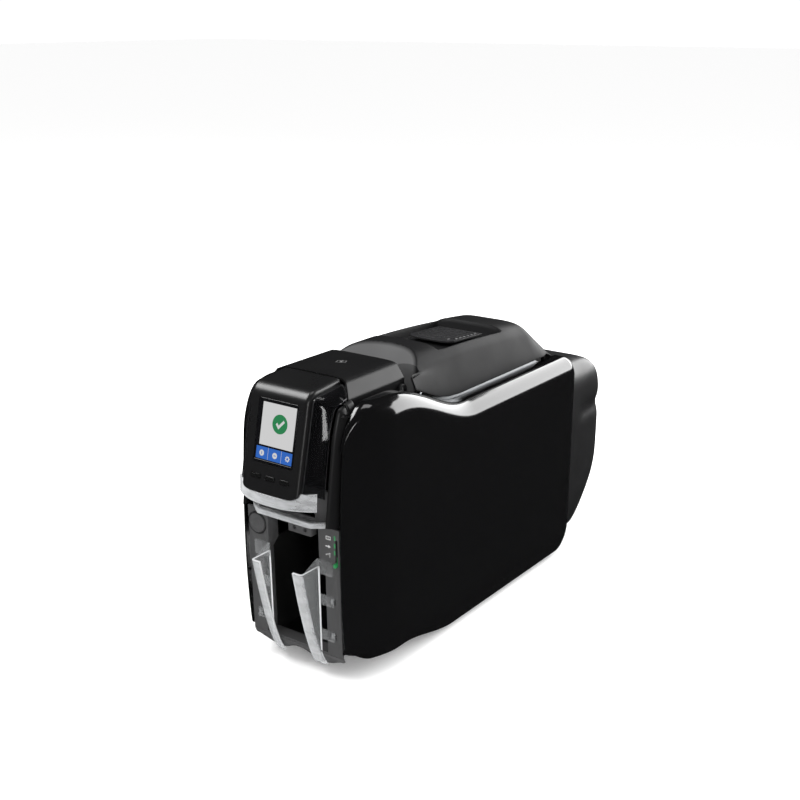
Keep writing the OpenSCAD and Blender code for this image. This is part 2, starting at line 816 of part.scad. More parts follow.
module window_lip() {
    xs = [for (i = [-12:12]) -(window_half - 3) * i / 12];
    outer = [for (r = [0:2]) [for (x = xs)
        let(
            edge = door_foot_z - 0.5 + 0.85 * foot_lift(min(abs(x), bezel_half)),
            back = (nose_reach - 8) * pow(abs(x) / window_half, 2.4)
        ) [x, -nose_reach + back + 1.2 * r / 2, mix(lip_z, edge, r / 2)]
    ]];
    sheet(outer, inset_grid(outer, even_walls(outer, door_wall)));
}

module door_window() {
    color([0.1, 0.1, 0.11, 0.6]) placed() {
        both_sides() window_side();
        window_lip();
    }
}

// Lid over the card stack; its front edge follows the rear edge of the window
lid_rear = door_pin_y + 6;
lid_z = seam[1];
shoulder_x = bezel_half + window_gap;
function lid_front(x) = seam[0] + 2.1
    - 10.4 * pow(clamp01((abs(x) - shoulder_x) / (window_half - shoulder_x)), 1.6);

function lid_half_section() = [
    [lid_half, lid_z - 24.5], [lid_half, lid_z - 20], [lid_half, lid_z - 14.5],
    [lid_half - 0.8, lid_z - 13], [40, lid_z - 2.2], [36, lid_z - 0.7], [bezel_half - 2, lid_z],
    [bezel_half / 2, lid_z + 0.6]
];

// Strip that runs down each side behind the window, just clear of the side panel
strip_x = mouth_half - 0.8;

module door_strip() {
    fs = concat([-0.2, -0.1], door_rows(), [1.03]);
    outer = [for (f = fs)
        let(
            rear = window_rear(f),
            slope = door_path(f * door_len)[2],
            wide = 9 + 8 * max(0, 0.33 - f)
        )
        [for (u = [1:-0.25:0])
            let(d = 2.8 + wide * u)
            [mix(window_half + 0.4, strip_x, sqrt(u)), rear[1] + d * sin(slope),
                rear[2] - d * cos(slope)]]];
    sheet(outer, inset_grid(outer, even_walls(outer, door_wall)));
}

module door_lid() {
    section = mirrored(lid_half_section());
    rows = [[0, 0, 0], [0.03, 0, 0], [0.25, 0, 0], [0.6, 0, 0], [0.93, 0, 0],
        [0.985, 0.6, 0], [1, 2.2, 0], [1, 18, 0.7]];
    outer = [for (row = rows) [for (p = section)
        [p[0], mix(lid_front(p[0]), lid_rear, row[0]) + row[2],
            min(p[1], lid_z + 0.6 - row[1])]]];
    color([0.07, 0.07, 0.08]) placed() difference() {
        union() {
            sheet(outer, inset_grid(outer, even_walls(outer, door_wall)));
            both_sides() {
                rod_x(lid_half - 4, lid_half, door_pin_y, door_pin_z, 11);
                door_strip();
            }
        }
        rod_x(-body_w, body_w, door_pin_y, door_pin_z, pin_dia + 2 * run_gap);
    }
}

// ---- Ribbon cover ----

cover_half = cover_w / 2;
cover_top_half = cover_top_w / 2;
crest = cover_top + 2;
crest_y = crown_end + 88;
rear_slope = 66; // length of the slope at the back of the cover
scoop_centre = door_pin_y + 8;
scoop_r = [52, 44]; // the collar round the lid, across and along
scoop_depth = 26.6;
cheek_reach = 19; // how far the cover's cheeks run forward beside the lid
well_half = 41;
well_y = [180, crest_y + 139];
well_depth = 13;

function cover_crown(y) =
    crest - 0.00032 * pow(y - crest_y, 2) - 43 * smooth((y - (cover_rear - rear_slope)) / rear_slope);

function cover_low(y) =
    panel_level(y) + 3 + 3 * smooth((y - 150) / 40) - 14 * smooth((y - (cover_rear - 36)) / 36);

function cover_shoulder(y) =
    max(cover_crown(y) - 12, mix(cover_low(y), cover_crown(y), 0.6));

function scoop(x, y) =
    let(e = norm([x / scoop_r[0], (y - scoop_centre) / scoop_r[1]]))
        scoop_depth * pow(max(0, 1 - e), 0.8);

function well(x, y) = well_depth
    * smooth((well_half - abs(x)) / 3)
    * smooth((y - well_y[0]) / 14)
    * smooth((well_y[1] - y) / 6);

function cover_face(x, y) =
    mix(cover_crown(y), cover_shoulder(y), pow(abs(x) / cover_top_half, 5)) - scoop(x, y) - well(x, y);

// The rear of the cover's sides tucks in, to swing down between the panels
function cover_tuck(y) = (cover_half - mouth_half + slip) * smooth((y - (cover_rear - 50)) / 25);

// Half of the cover's section: up the flared side, then in over the top
function cover_point(i, y) =
    i < 4
        ? let(u = i / 4)
            [mix(cover_half - cover_tuck(y), cover_top_half, pow(u, 1.25)),
                mix(cover_low(y), cover_face(cover_top_half, y), u)]
        : let(x = [cover_top_half, 45, 42.4, 40.6, 38.2, 31, 21, 11][i - 4])
            [min(x, cover_top_half), cover_face(x, y)];

function cover_stations() = concat(
    [for (i = [0:5]) mix(cover_front, crest_y + 14, i / 5)],
    [for (i = [0:4]) mix(well_y[0], well_y[0] + 14, i / 4)],
    [for (i = [1:6]) mix(well_y[0] + 14, well_y[1] - 6, i / 6.5)],
    [for (i = [0:3]) mix(well_y[1] - 6, well_y[1], i / 3)],
    [for (i = [0:9]) mix(well_y[1] + 12, cover_rear, i / 9)]
);

module release_well() {
    block(-stem_half - slip, stem_half + slip, pad_y - 1 - slip, pad_y + 7.6 + slip,
        cover_top - 30, cover_top);
}

// Wall under the cover's front edge, round the path of the lid's rear edge
apron_z = 247;

function apron(section) = [for (p = section)
    let(share = smooth((abs(p[0]) - 45) / 3.5))
        [p[0], p[1] - mix(2, 0.6, share), mix(apron_z, p[2] - 1, share)]];

module ribbon_cover() {
    rows = cover_stations();
    shell = [for (y = rows)
        let(half = [for (i = [0:11]) cover_point(i, y)],
            section = mirrored(half))
        [for (p = section)
            let(
                reach = cheek_reach * smooth((abs(p[0]) - cover_top_half - 1) / 6),
                at = y - reach * (1 - smooth((y - cover_front) / 70))
            ) [p[0], at, abs(p[0]) > cover_top_half ? p[1] + cover_low(at) - cover_low(y) : p[1]]]];
    outer = concat([apron(shell[0])], shell);
    color([0.2, 0.2, 0.21]) placed() difference() {
        union() {
            sheet(outer, inset_grid(outer, even_walls(outer, cover_wall)));
            both_sides() {
                // hinge ears
                rod_x(plate_x - 5, plate_x - 1, cover_pin_y, cover_pin_z, 12);
                along_x(plate_x - 5, plate_x - 1) polygon([
                    [cover_pin_y - 6, cover_pin_z], [cover_pin_y + 6, cover_pin_z],
                    [cover_pin_y + 6, cover_shoulder(cover_pin_y + 6) - 1.5],
                    [cover_pin_y - 6, cover_shoulder(cover_pin_y - 6) - 1.5],
                ]);
                // lugs that carry the latch
                difference() {
                    block(latch_half + seat, latch_half + seat + 3, latch_y - 5, latch_y + 5,
                        latch_z - 4, cover_crown(latch_y) - well_depth - 1);
                    rod_x(0, body_w, latch_y, latch_z, bore_dia);
                }
            }
        }
        rod_x(-body_w, body_w, cover_pin_y, cover_pin_z, pin_dia + 2 * run_gap);
        release_well();
    }
}

pad_y = crest_y + 92;
pad_tilt = -3.4;
latch_y = pad_y - 12;
latch_z = cover_top - 33;
latch_half = 30;
latch_tab = [2, 5.5];
stem_half = 8.6;

module release_pad() {
    floor_z = cover_crown(pad_y) - well_depth;
    rib = 4.6;
    pitch = 7;
    color([0.25, 0.25, 0.26]) placed() {
        translate([0, pad_y, floor_z + pad_travel + seat]) rotate([pad_tilt, 0, 0]) {
            linear_extrude(2) union() {
                translate([0, 4]) square([pad_w, pad_d - 8], center = true);
                square([pad_w - 24, pad_d], center = true);
                for (x = [-1, 1]) translate([x * (pad_w / 2 - 12), -pad_d / 2 + 12]) circle(12);
            }
            for (i = [-3:3]) translate([0, i * pitch + 2, 2.4])
                cube([pad_w - 8 - (i < -2 ? 10 : 0), rib, 0.8], center = true);
        }
        block(-stem_half, stem_half, pad_y - 1, pad_y + 7.6, latch_z + latch_tab[1] + 0.5,
            floor_z + pad_travel + 1.5);
    }
}

module cover_latch() {
    color([0.75, 0.75, 0.73]) placed() {
        rod_x(-latch_half - 2.5, latch_half + 2.5, latch_y, latch_z, shaft_dia);
        block(-8, 8, latch_y, latch_y + 16, latch_z + latch_tab[0], latch_z + latch_tab[1]);
        both_sides() along_x(latch_half - 4, latch_half) polygon([
            [latch_y - 4, latch_z + 3], [latch_y + 4, latch_z + 3], [latch_y + 3, latch_z - 14],
            [latch_y + 7, latch_z - 18], [latch_y - 3, latch_z - 18]
        ]);
    }
}

// ---- Print head ----

head_half = card_guide_half + 3;
head_y = [platen_y - 7, platen_y + 7];
head_foot = path_z + 2.4;
cross_z = spool_z + 10;

module head_bracket() {
    top = cover_face(head_half + 3, head_y[1]) - cover_wall - 0.15;
    color([0.6, 0.61, 0.63]) placed() {
        both_sides() block(head_half + 1, head_half + 3, head_y[0], head_y[1], path_z + 22, top);
        difference() {
            block(-head_half - 1, head_half + 1, head_y[0], head_y[1], cross_z, cross_z + 3);
            for (x = [-18, 18]) translate([x, platen_y, cross_z - 1])
                cylinder(d = 4 + 2 * run_gap, h = 6);
        }
        block(-head_half - 1, head_half + 1, head_y[0], head_y[1], top - 2, top);
    }
}

module print_head() {
    color([0.7, 0.71, 0.72]) placed() {
        along_x(-head_half, head_half) polygon([
            [head_y[0] + 4, head_foot], [head_y[1] - 4, head_foot], [head_y[1], head_foot + 5],
            [head_y[1], head_foot + 12], [head_y[0], head_foot + 12], [head_y[0], head_foot + 5]
        ]);
        // cooling fins
        for (i = [-6:6]) block(i * 4.6 - 0.8, i * 4.6 + 0.8, head_y[0], head_y[1],
            head_foot + 11, head_foot + 34);
        block(-20.5, 20.5, platen_y - 3, platen_y + 3, head_foot + 11, cross_z - 5);
        for (x = [-18, 18]) translate([x, platen_y, cross_z - 6]) cylinder(d = 4, h = 14);
    }
}

// ---- Rollers and drive ----

roller_half = card_w / 2 - 2;
pulley_w = belt_w + 1.8;
flange = 0.6;

module pulley(x, y, z, d) {
    rod_x(x, x + pulley_w, y, z, d);
    for (at = [x, x + pulley_w - flange]) rod_x(at, at + flange, y, z, d + 2.6);
}

// A card roller on its shaft, which runs in both plates
module roller(y, z, d, half) {
    rod_x(-half, half, y, z, d);
    rod_x(-shaft_end, shaft_end, y, z, shaft_dia);
    for (x = [-plate_x + 1, plate_x - 3]) rod_x(x, x + 2, y, z, shaft_dia + 3);
}

module driven_roller(y, half) {
    color([0.15, 0.15, 0.16]) placed() {
        roller(y, roller_z, roller_dia, half);
        mirror([1, 0, 0]) {
            rod_x(0, row_belt_x + pulley_w, y, roller_z, shaft_dia);
            pulley(row_belt_x, y, roller_z, pulley_dia);
        }
    }
}

module feed_roller() { driven_roller(feed_y, 20); }
module entry_roller() { driven_roller(entry_y, roller_half); }
module exit_roller() { driven_roller(exit_y, roller_half); }
module tail_roller() { driven_roller(tail_y, roller_half); }

module platen_roller() {
    driven_roller(platen_y, roller_half + 2);
    color([0.15, 0.15, 0.16]) placed() mirror([1, 0, 0]) {
        rod_x(row_belt_x, motor_belt_x + pulley_w, platen_y, roller_z, shaft_dia);
        pulley(motor_belt_x, platen_y, roller_z, platen_pulley_dia);
    }
}

module pinch(y, d, half) { color([0.75, 0.76, 0.78]) placed() roller(y, pinch_z, d, half); }
module entry_pinch() { pinch(entry_y, roller_dia, roller_half); }
module exit_pinch() { pinch(exit_y, roller_dia, roller_half); }
module tail_pinch() { pinch(tail_y, roller_dia, roller_half); }
module cleaning_roller() { pinch(clean_y, roller_dia, roller_half + 1); }

// Arc of points round c from angle a0 down to a1
function arc(c, r, a0, a1) = [for (i = [0:24]) let(a = mix(a0, a1, i / 24)) c + r * [cos(a), sin(a)]];

// Outline of a belt's inner side round two pulleys, grown by g
module loop_outline(a, b, ra, rb, g) {
    d = norm(b - a);
    along = atan2(b[1] - a[1], b[0] - a[0]);
    open = acos((ra - rb) / d);
    polygon(concat(
        arc(a, ra + g, along + 360 - open, along + open),
        arc(b, rb + g, along + open, along - open)
    ));
}

module belt(x, a, b, ra, rb) {
    mirror([1, 0, 0]) along_x(x + 0.9, x + 0.9 + belt_w) difference() {
        loop_outline(a, b, ra, rb, seat + belt_t);
        loop_outline(a, b, ra, rb, seat);
    }
}

module roller_belt() {
    color([0.1, 0.1, 0.1]) placed() belt(row_belt_x, [feed_y, roller_z], [tail_y, roller_z],
        pulley_dia / 2, pulley_dia / 2);
}

module motor_belt() {
    color([0.1, 0.1, 0.1]) placed() belt(motor_belt_x, [platen_y, motor_z], [platen_y, roller_z],
        motor_pulley_dia / 2, platen_pulley_dia / 2);
}

motor_w = 35;
motor_l = 30;

module transport_motor() {
    color([0.3, 0.3, 0.32]) placed() mirror([1, 0, 0]) difference() {
        union() {
            along_x(plate_x - motor_l, plate_x) translate([platen_y, motor_z])
                rounded(motor_w, motor_w, 4);
            rod_x(plate_x - 1, plate_x + plate_t, platen_y, motor_z, 13.6);
        }
        rod_x(plate_x - 12, plate_x + plate_t + 1, platen_y, motor_z, bore_dia);
    }
}

module motor_pulley() {
    color("silver") placed() mirror([1, 0, 0]) {
        rod_x(plate_x - 11, motor_belt_x + pulley_w, platen_y, motor_z, shaft_dia);
        pulley(motor_belt_x, platen_y, motor_z, motor_pulley_dia);
    }
}

module ribbon_motor() {
    x = plate_x + plate_t;
    color([0.55, 0.56, 0.58]) placed() mirror([1, 0, 0]) difference() {
        union() {
            rod_x(x, x + 15, spool_y[1], spool_z, 24);
            rod_x(x + 14, x + 17.5, spool_y[1], spool_z, 9);
            for (z = [-1, 1]) translate([0, 0, z * 15])
                rod_x(x, x + 1.4, spool_y[1], spool_z, 8);
            along_x(x, x + 1.4) translate([spool_y[1], spool_z]) square([8, 30], center = true);
        }
        rod_x(x - 1, x + 9, spool_y[1], spool_z, spindle_dia + 2 * run_gap);
    }
}

// ---- Ribbon ----

spindle_dia = 8;
cheek_x = 42;
guide_y = [platen_y - 21, platen_y + 21];
guide_z = path_z + 7.5;

module ribbon_cartridge() {
    ends = [spool_y[0] - 24, spool_y[1] + 24];
    color([0.85, 0.85, 0.83]) placed() {
        both_sides() {
            difference() {
                union() {
                    along_x(cheek_x - 2, cheek_x) difference() {
                        polygon([
                            [ends[0], spool_z + 8], [ends[0] + 10, spool_z - 12],
                            [guide_y[0] - 6, spool_z - 14], [guide_y[0] - 5, guide_z - 4],
                            [guide_y[0] + 5, guide_z - 4], [guide_y[0] + 8, spool_z - 6],
                            [guide_y[1] - 8, spool_z - 6], [guide_y[1] - 5, guide_z - 4],
                            [guide_y[1] + 5, guide_z - 4], [guide_y[1] + 6, spool_z - 14],
                            [ends[1] - 10, spool_z - 12], [ends[1], spool_z + 8],
                            [ends[1] - 6, spool_z + 15], [ends[0] + 6, spool_z + 15]
                        ]);
                    }
                    for (y = [ends[0] + 8, ends[1] - 16])
                        block(cheek_x - 1, plate_x - seat, y, y + 8, spool_z + 10, spool_z + 13);
                }
                for (y = spool_y) rod_x(0, body_w, y, spool_z, spindle_dia + 2 * run_gap);
            }
        }
        for (y = guide_y) rod_x(-cheek_x + 1, cheek_x - 1, y, guide_z, 4);
        for (y = ends) block(-cheek_x + 1, cheek_x - 1, y + (y < platen_y ? 3 : -6),
            y + (y < platen_y ? 6 : -3), spool_z + 8, spool_z + 15);
    }
}

film_t = 0.3;
core_dia = 15; // film wound so far on the take-up spool

// Film from the head's foot, under a guide rod and up to a roll; side is -1 or 1
function film_path(side, d) =
    let(
        guide = platen_y + side * (guide_y[1] - platen_y),
        roll_dia = side < 0 ? ribbon_roll_dia : core_dia,
        roll = platen_y + side * (spool_y[1] - platen_y - roll_dia / 2 - seat),
        low = guide_z - 2 - seat
    ) [
        [platen_y, path_z + 1.5 - d], [guide - side, low - d],
        [guide + side * (1.4 + d / 2), low + 0.4 - d / 2], [guide + side * (2.3 + d), guide_z],
        [roll + side * d, spool_z]
    ];

module ribbon_film() {
    color([0.1, 0.1, 0.35]) placed() along_x(-head_half + 2, head_half - 2)
        for (side = [-1, 1]) {
            back = film_path(side, film_t);
            polygon(concat(film_path(side, 0), [for (i = [len(back) - 1:-1:0]) back[i]]));
        }
}

module spool(y, reach_left) {
    color([0.12, 0.12, 0.3]) placed() {
        rod_x(-plate_x - plate_t - reach_left, plate_x + plate_t, y, spool_z, spindle_dia);
        rod_x(-head_half + 1, head_half - 1, y, spool_z, ribbon_roll_dia);
        for (x = [-head_half, head_half - 1]) rod_x(x, x + 1, y, spool_z, ribbon_roll_dia + 1);
    }
}

module supply_spool() { spool(spool_y[0], 1); }

module take_up_spool() {
    color([0.12, 0.12, 0.3]) placed() {
        rod_x(-plate_x - plate_t - 8, plate_x + plate_t, spool_y[1], spool_z, spindle_dia);
        rod_x(-head_half + 1, head_half - 1, spool_y[1], spool_z, core_dia);
        for (x = [-head_half - 1, head_half - 1]) difference() {
            rod_x(x, x + 2, spool_y[1], spool_z, ribbon_roll_dia);
            for (a = [0:60:300]) translate([0, spool_y[1], spool_z]) rotate([a, 0, 0])
                rod_x(x - 1, x + 3, 0, 11, 5);
        }
    }
}

// ---- Boards, fan and rear panel ----

board_hole_y = [166, 342];

module main_board() {
    z = 36;
    color([0.05, 0.3, 0.15]) placed() {
        difference() {
            translate([0, 250, z]) linear_extrude(1.6) rounded(84, 200, 3);
            for (x = [-37, 37], y = board_hole_y) translate([x, y, z - 1]) cylinder(d = 3.2, h = 4);
        }
        for (x = [-37, 37], y = board_hole_y) difference() {
            translate([x, y, skirt_h + tray_gap + tray_t])
                cylinder(d = 7, h = z - skirt_h - tray_gap - tray_t);
            translate([x, y, z - 10]) cylinder(d = 2.6, h = 11);
        }
        block(-30, -8, 180, 202, z + 1, z + 4);
        block(6, 26, 230, 244, z + 1, z + 3.5);
        for (y = [270:14:312]) translate([-28, y, z + 1]) cylinder(d = 8, h = 14);
        block(-20, 20, 334, 344, z + 1, z + 10);
    }
}

fan_x = 22;
fan_z = 112;
fan_w = 40;
fan_y = [plate_rear - 10.5, plate_rear - seat];

module fan_housing() {
    color([0.08, 0.08, 0.08]) placed() {
        difference() {
            along_y(fan_y[0], fan_y[1] + seat) translate([fan_x, fan_z]) rounded(fan_w, fan_w, 3);
            rod_y(fan_y[0] - 1, fan_y[1] + 1, fan_x, fan_z, fan_w - 2.5);
            for (x = [-1, 1], z = [-1, 1])
                rod_y(fan_y[0] - 1, fan_y[1] + 1, fan_x + 16 * x, fan_z + 16 * z, 3.4);
        }
        difference() {
            union() {
                rod_y(fan_y[1] - 2, fan_y[1] + seat, fan_x, fan_z, 18);
                for (a = [45:90:315]) translate([fan_x, fan_y[1] - 1, fan_z]) rotate([0, a, 0])
                    translate([0, -1, -1.2]) cube([fan_w / 2, 2, 2.4]);
            }
            rod_y(fan_y[1] - 9, fan_y[1] + seat - 0.8, fan_x, fan_z, 3 + 2 * run_gap);
        }
    }
}

module fan_rotor() {
    color([0.1, 0.1, 0.1]) placed() {
        rod_y(fan_y[0] + 1, fan_y[1] - 2 - seat, fan_x, fan_z, 19);
        rod_y(fan_y[0] + 1, fan_y[1] - 0.6, fan_x, fan_z, 3);
        for (a = [0:360 / 7:359]) translate([fan_x, 0, fan_z]) rotate([0, a, 0])
            translate([8.5, fan_y[0] + 4.5, 0]) rotate([38, 0, 0]) translate([0, -0.6, -4.5])
                cube([9.3, 1.2, 9]);
    }
}

module rear_panel() {
    half = plate_x + plate_t;
    low = tray_under(plate_rear);
    color([0.12, 0.12, 0.13]) placed() along_y(plate_rear, plate_rear + 2) difference() {
        polygon([[-half, low], [half, low], [half, panel_h - 41 - 6], [half - 6, panel_h - 41],
            [-half + 6, panel_h - 41], [-half, panel_h - 41 - 6]]);
        // the card's way to the rear unit
        translate([0, path_z]) square([2 * card_guide_half + 4, 14], center = true);
        for (i = [-3:3]) translate([fan_x + i * 5, fan_z]) square([2.6, 24], center = true);
        translate([-26, 60]) rounded(30, 20, 4);
    }
}

// ---- Rear unit ----

unit_front = body_d + 3;
function unit_top(u) = panel_h - 20 - 4 * u - 48 * quarter(pow(u, 6));
function unit_low(u) = let(v = clamp01((u - 0.4) / 0.6))
    skirt_h + 64 * pow(v, 1.35) + 36 * quarter(pow(v, 6));
function unit_side(u) = unit_half - 3 * u - 9 * quarter(pow(u, 5));
function grip(u, z) = 3.2 * exp(-pow((z - path_z + 13) / 9, 2)) * smooth((u - 0.3) / 0.3);
unit_power = 0.3; // the lower, the squarer the unit's section
function signed_pow(v, e) = sign(v) * pow(abs(v), e);

function unit_ring(u, cols) = [
    for (i = [0:cols - 1])
        let(
            a = 360 * (i + 0.5) / cols - 90,
            middle = (unit_top(u) + unit_low(u)) / 2,
            tall = (unit_top(u) - unit_low(u)) / 2,
            z = middle + tall * signed_pow(sin(a), unit_power),
            x = unit_side(u) * signed_pow(cos(a), unit_power)
        ) [x - sign(x) * grip(u, z), mix(unit_front, rear_y, u), z]
];

function ring_normal(g, r, c) =
    let(
        rows = len(g) - 1,
        cols = len(g[0]),
        u = g[min(r + 1, rows)][c] - g[max(r - 1, 0)][c],
        v = g[r][(c + 1) % cols] - g[r][(c + cols - 1) % cols],
        n = cross(u, v)
    ) n / norm(n);

module unit_shell() {
    cols = 32;
    us = [for (i = [0:13]) sin(90 * i / 13)];
    outer = [for (u = us) unit_ring(u, cols)];
    last = len(us) - 1;
    inner = [for (r = [0:last]) [for (c = [0:cols - 1])
        outer[r][c] - unit_wall * ring_normal(outer, r, c)
            - (r == last ? [0, unit_wall, 0] : [0, 0, 0])]];
    ring_cup(outer, inner);
}

bay_x = [-48, 12];
bay_z = [29, 60];
bay_y = body_d + 46;
// Where the bay's lower and upper walls meet the cover
bay_mouth = [for (share = [0.617, 0.876]) mix(unit_front, rear_y, share)];

module unit_cover() {
    color([0.12, 0.12, 0.13]) placed() {
        difference() {
            unit_shell();
            block(bay_x[0], bay_x[1], bay_y - 4, rear_y + 10, bay_z[0], bay_z[1]);
        }
    }
}

module unit_frame() {
    front = plate_rear + 2;
    color([0.3, 0.31, 0.33]) placed() {
        along_y(front, front + 2) difference() {
            translate([-50, 16]) square([100, panel_h - 60]);
            translate([0, path_z]) square([2 * card_guide_half + 4, 14], center = true);
            translate([fan_x, fan_z]) circle(18);
            translate([-26, 96]) rounded(30, 20, 4);
        }
        both_sides() difference() {
            along_x(unit_plate_x, unit_plate_x + 2) polygon([
                [front + 1, path_z - 50], [flip_y, path_z - 24], [flip_y + 10, path_z - 10],
                [flip_y + 10, path_z + 10], [flip_y, path_z + 22], [front + 1, path_z + 16]
            ]);
            rod_x(0, body_w, flip_y, path_z, pin_dia + 3 + 2 * run_gap);
        }
        // bay for the sockets
        for (x = [bay_x[0] - 2, bay_x[1]]) along_x(x, x + 2) polygon([
            [front + 1, bay_z[0] - 2], [bay_mouth[0], bay_z[0] - 2], [bay_mouth[1], bay_z[1] + 2],
            [front + 1, bay_z[1] + 2]
        ]);
        difference() {
            block(bay_x[0], bay_x[1], bay_y, bay_y + 2, bay_z[0] - 2, bay_z[1] + 2);
            socket_cut(inlet_x, 13, 13);
            socket_cut(usb_x, 13, 12);
            socket_cut(lan_x, 17, 14);
        }
        block(bay_x[0], bay_x[1], bay_y - 8, bay_mouth[1] - 1, bay_z[1], bay_z[1] + 2);
        block(bay_x[0], bay_x[1], bay_y - 8, bay_mouth[0], bay_z[0] - 2, bay_z[0]);
    }
}

inlet_x = -38;
usb_x = -20;
lan_x = 0;
socket_z = 43;

module socket_cut(x, w, h) {
    block(x - w / 2 - 0.1, x + w / 2 + 0.1, bay_y - 1, bay_y + 3,
        socket_z - h / 2 - 0.1, socket_z + h / 2 + 0.1);
}

module socket_body(x, w, h) {
    block(x - w / 2, x + w / 2, bay_y - 9, bay_y + 3, socket_z - h / 2, socket_z + h / 2);
}

module power_inlet() {
    color([0.06, 0.06, 0.06]) placed() {
        difference() {
            socket_body(inlet_x, 13, 13);
            rod_y(bay_y - 7, bay_y + 4, inlet_x, socket_z, 7);
        }
        rod_y(bay_y - 8, bay_y + 2, inlet_x, socket_z, 2);
    }
}

module usb_socket() {
    color([0.7, 0.7, 0.72]) placed() {
        difference() {
            socket_body(usb_x, 13, 12);
            along_y(bay_y - 7, bay_y + 4) polygon([
                [usb_x - 4.6, socket_z - 4.3], [usb_x + 4.6, socket_z - 4.3],
                [usb_x + 4.6, socket_z + 2.4], [usb_x + 2.8, socket_z + 4.3],
                [usb_x - 2.8, socket_z + 4.3], [usb_x - 4.6, socket_z + 2.4]
            ]);
        }
        block(usb_x - 2.6, usb_x + 2.6, bay_y - 8, bay_y + 1, socket_z - 1.4, socket_z + 1.6);
    }
}

module network_socket() {
    color([0.6, 0.6, 0.62]) placed() difference() {
        socket_body(lan_x, 17, 14);
        block(lan_x - 6, lan_x + 6, bay_y - 7, bay_y + 4, socket_z - 3, socket_z + 4.5);
        block(lan_x - 3, lan_x + 3, bay_y - 7, bay_y + 4, socket_z - 5, socket_z - 2);
    }
}

// The cradle holds a card in its rollers and turns it over
module flipper_cradle() {
    color([0.2, 0.2, 0.22]) placed() {
        both_sides() difference() {
            union() {
                along_x(flip_half, flip_half + 3) polygon([
                    [flip_y - flip_reach, path_z - 3], [flip_y - 10, path_z - 15],
                    [flip_y + 10, path_z - 15], [flip_y + flip_reach, path_z - 3],
                    [flip_y + flip_reach, path_z + 5], [flip_y + 10, path_z + 15],
                    [flip_y - 10, path_z + 15], [flip_y - flip_reach, path_z + 5]
                ]);
                rod_x(flip_half + 2, unit_plate_x + 4, flip_y, path_z, pin_dia + 3);
            }
            rod_x(flip_half - 1, flip_half + 4, flip_y - 16, roller_z, bore_dia);
        }
        for (y = [flip_y - flip_reach, flip_y + flip_reach - 4])
            block(-flip_half - 1, flip_half + 1, y, y + 4, path_z + 3, path_z + 4.6);
        for (y = [flip_y - flip_reach + 6, flip_y + flip_reach - 10])
            block(-flip_half - 1, flip_half + 1, y, y + 4, path_z - 4.6, path_z - 3);
    }
}

flip_reach = 34;

module flipper_roller() {
    color([0.15, 0.15, 0.16]) placed() {
        rod_x(-roller_half, roller_half, flip_y - 16, roller_z, roller_dia);
        rod_x(-flip_half - 3, flip_half + 3, flip_y - 16, roller_z, shaft_dia);
    }
}

base_tray();
side_panel_right();
side_panel_left();
frame_plate_right();
frame_plate_left();
front_frame();
feed_lip();
bin_guide_right();
bin_guide_left();
bin_floor();
tie_rods();
hopper_cradle();
rubber_feet();
rear_panel();
main_board();
transport_motor();
roller_belt();
motor_belt();
ribbon_motor();
fan_housing();
unit_cover();
unit_frame();
power_inlet();
usb_socket();
network_socket();
hinge_pins();
ribbon_cartridge();
ribbon_film();
panel_screws();
door_bezel();
door_window();
door_lid();
display_panel();
display_glass();
key_board();
key_left();
key_middle();
key_right();
power_button();
thickness_lever();
ribbon_cover();
release_pad();
cover_latch();
head_bracket();
print_head();
feed_roller();
entry_roller();
platen_roller();
exit_roller();
tail_roller();
entry_pinch();
exit_pinch();
tail_pinch();
cleaning_roller();
motor_pulley();
supply_spool();
take_up_spool();
fan_rotor();
flipper_cradle();
flipper_roller();
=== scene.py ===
import json
import math

import bmesh
import bpy
from mathutils import Matrix, Vector


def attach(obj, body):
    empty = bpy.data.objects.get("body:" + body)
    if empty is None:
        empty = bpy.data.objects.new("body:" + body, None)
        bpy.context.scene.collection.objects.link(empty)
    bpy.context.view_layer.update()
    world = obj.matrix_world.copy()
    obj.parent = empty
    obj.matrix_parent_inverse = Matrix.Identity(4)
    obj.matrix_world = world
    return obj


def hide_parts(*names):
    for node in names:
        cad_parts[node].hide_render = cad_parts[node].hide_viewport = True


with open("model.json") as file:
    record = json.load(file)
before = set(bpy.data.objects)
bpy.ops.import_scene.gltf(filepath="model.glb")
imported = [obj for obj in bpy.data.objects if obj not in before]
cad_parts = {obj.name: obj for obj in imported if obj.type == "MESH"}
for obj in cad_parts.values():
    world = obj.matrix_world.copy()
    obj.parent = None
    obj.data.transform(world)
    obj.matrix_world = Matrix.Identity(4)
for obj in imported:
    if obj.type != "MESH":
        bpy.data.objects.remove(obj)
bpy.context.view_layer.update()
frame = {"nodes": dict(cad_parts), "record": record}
print("frame loaded:", len(frame["nodes"]), "nodes")

mm = 0.001
frontLine = -238.5  # y of the side panels' front line in the part's frame, in mm


def at(x, y, z):  # mm, y from the panels' front line, to metres in the part's frame
    return Vector((x * mm, (y + frontLine) * mm, z * mm))


# camera, floor and lights

cameraLook = {
    "azimuth": 35.32,
    "elevation": 22.12,
    "place": (671.5, -734.6, 582.1),  # mm, from the panels' front line
    "lens": 53.466,
    "shiftX": -0.0278,
    "shiftY": 0.1174,
}


def makeCamera(look):
    data = bpy.data.cameras.new("camera")
    camera = bpy.data.objects.new("camera", data)
    bpy.context.scene.collection.objects.link(camera)
    a = math.radians(look["azimuth"])
    e = math.radians(look["elevation"])
    back = Vector((math.sin(a) * math.cos(e), -math.cos(a) * math.cos(e), math.sin(e)))
    camera.location = at(*look["place"])
    camera.rotation_mode = "QUATERNION"
    camera.rotation_quaternion = (-back).to_track_quat("-Z", "Y")
    data.sensor_width = 36
    data.lens = look["lens"]
    data.shift_x = look["shiftX"]
    data.shift_y = look["shiftY"]
    data.clip_start = 0.01
    data.clip_end = 100
    bpy.context.scene.camera = camera


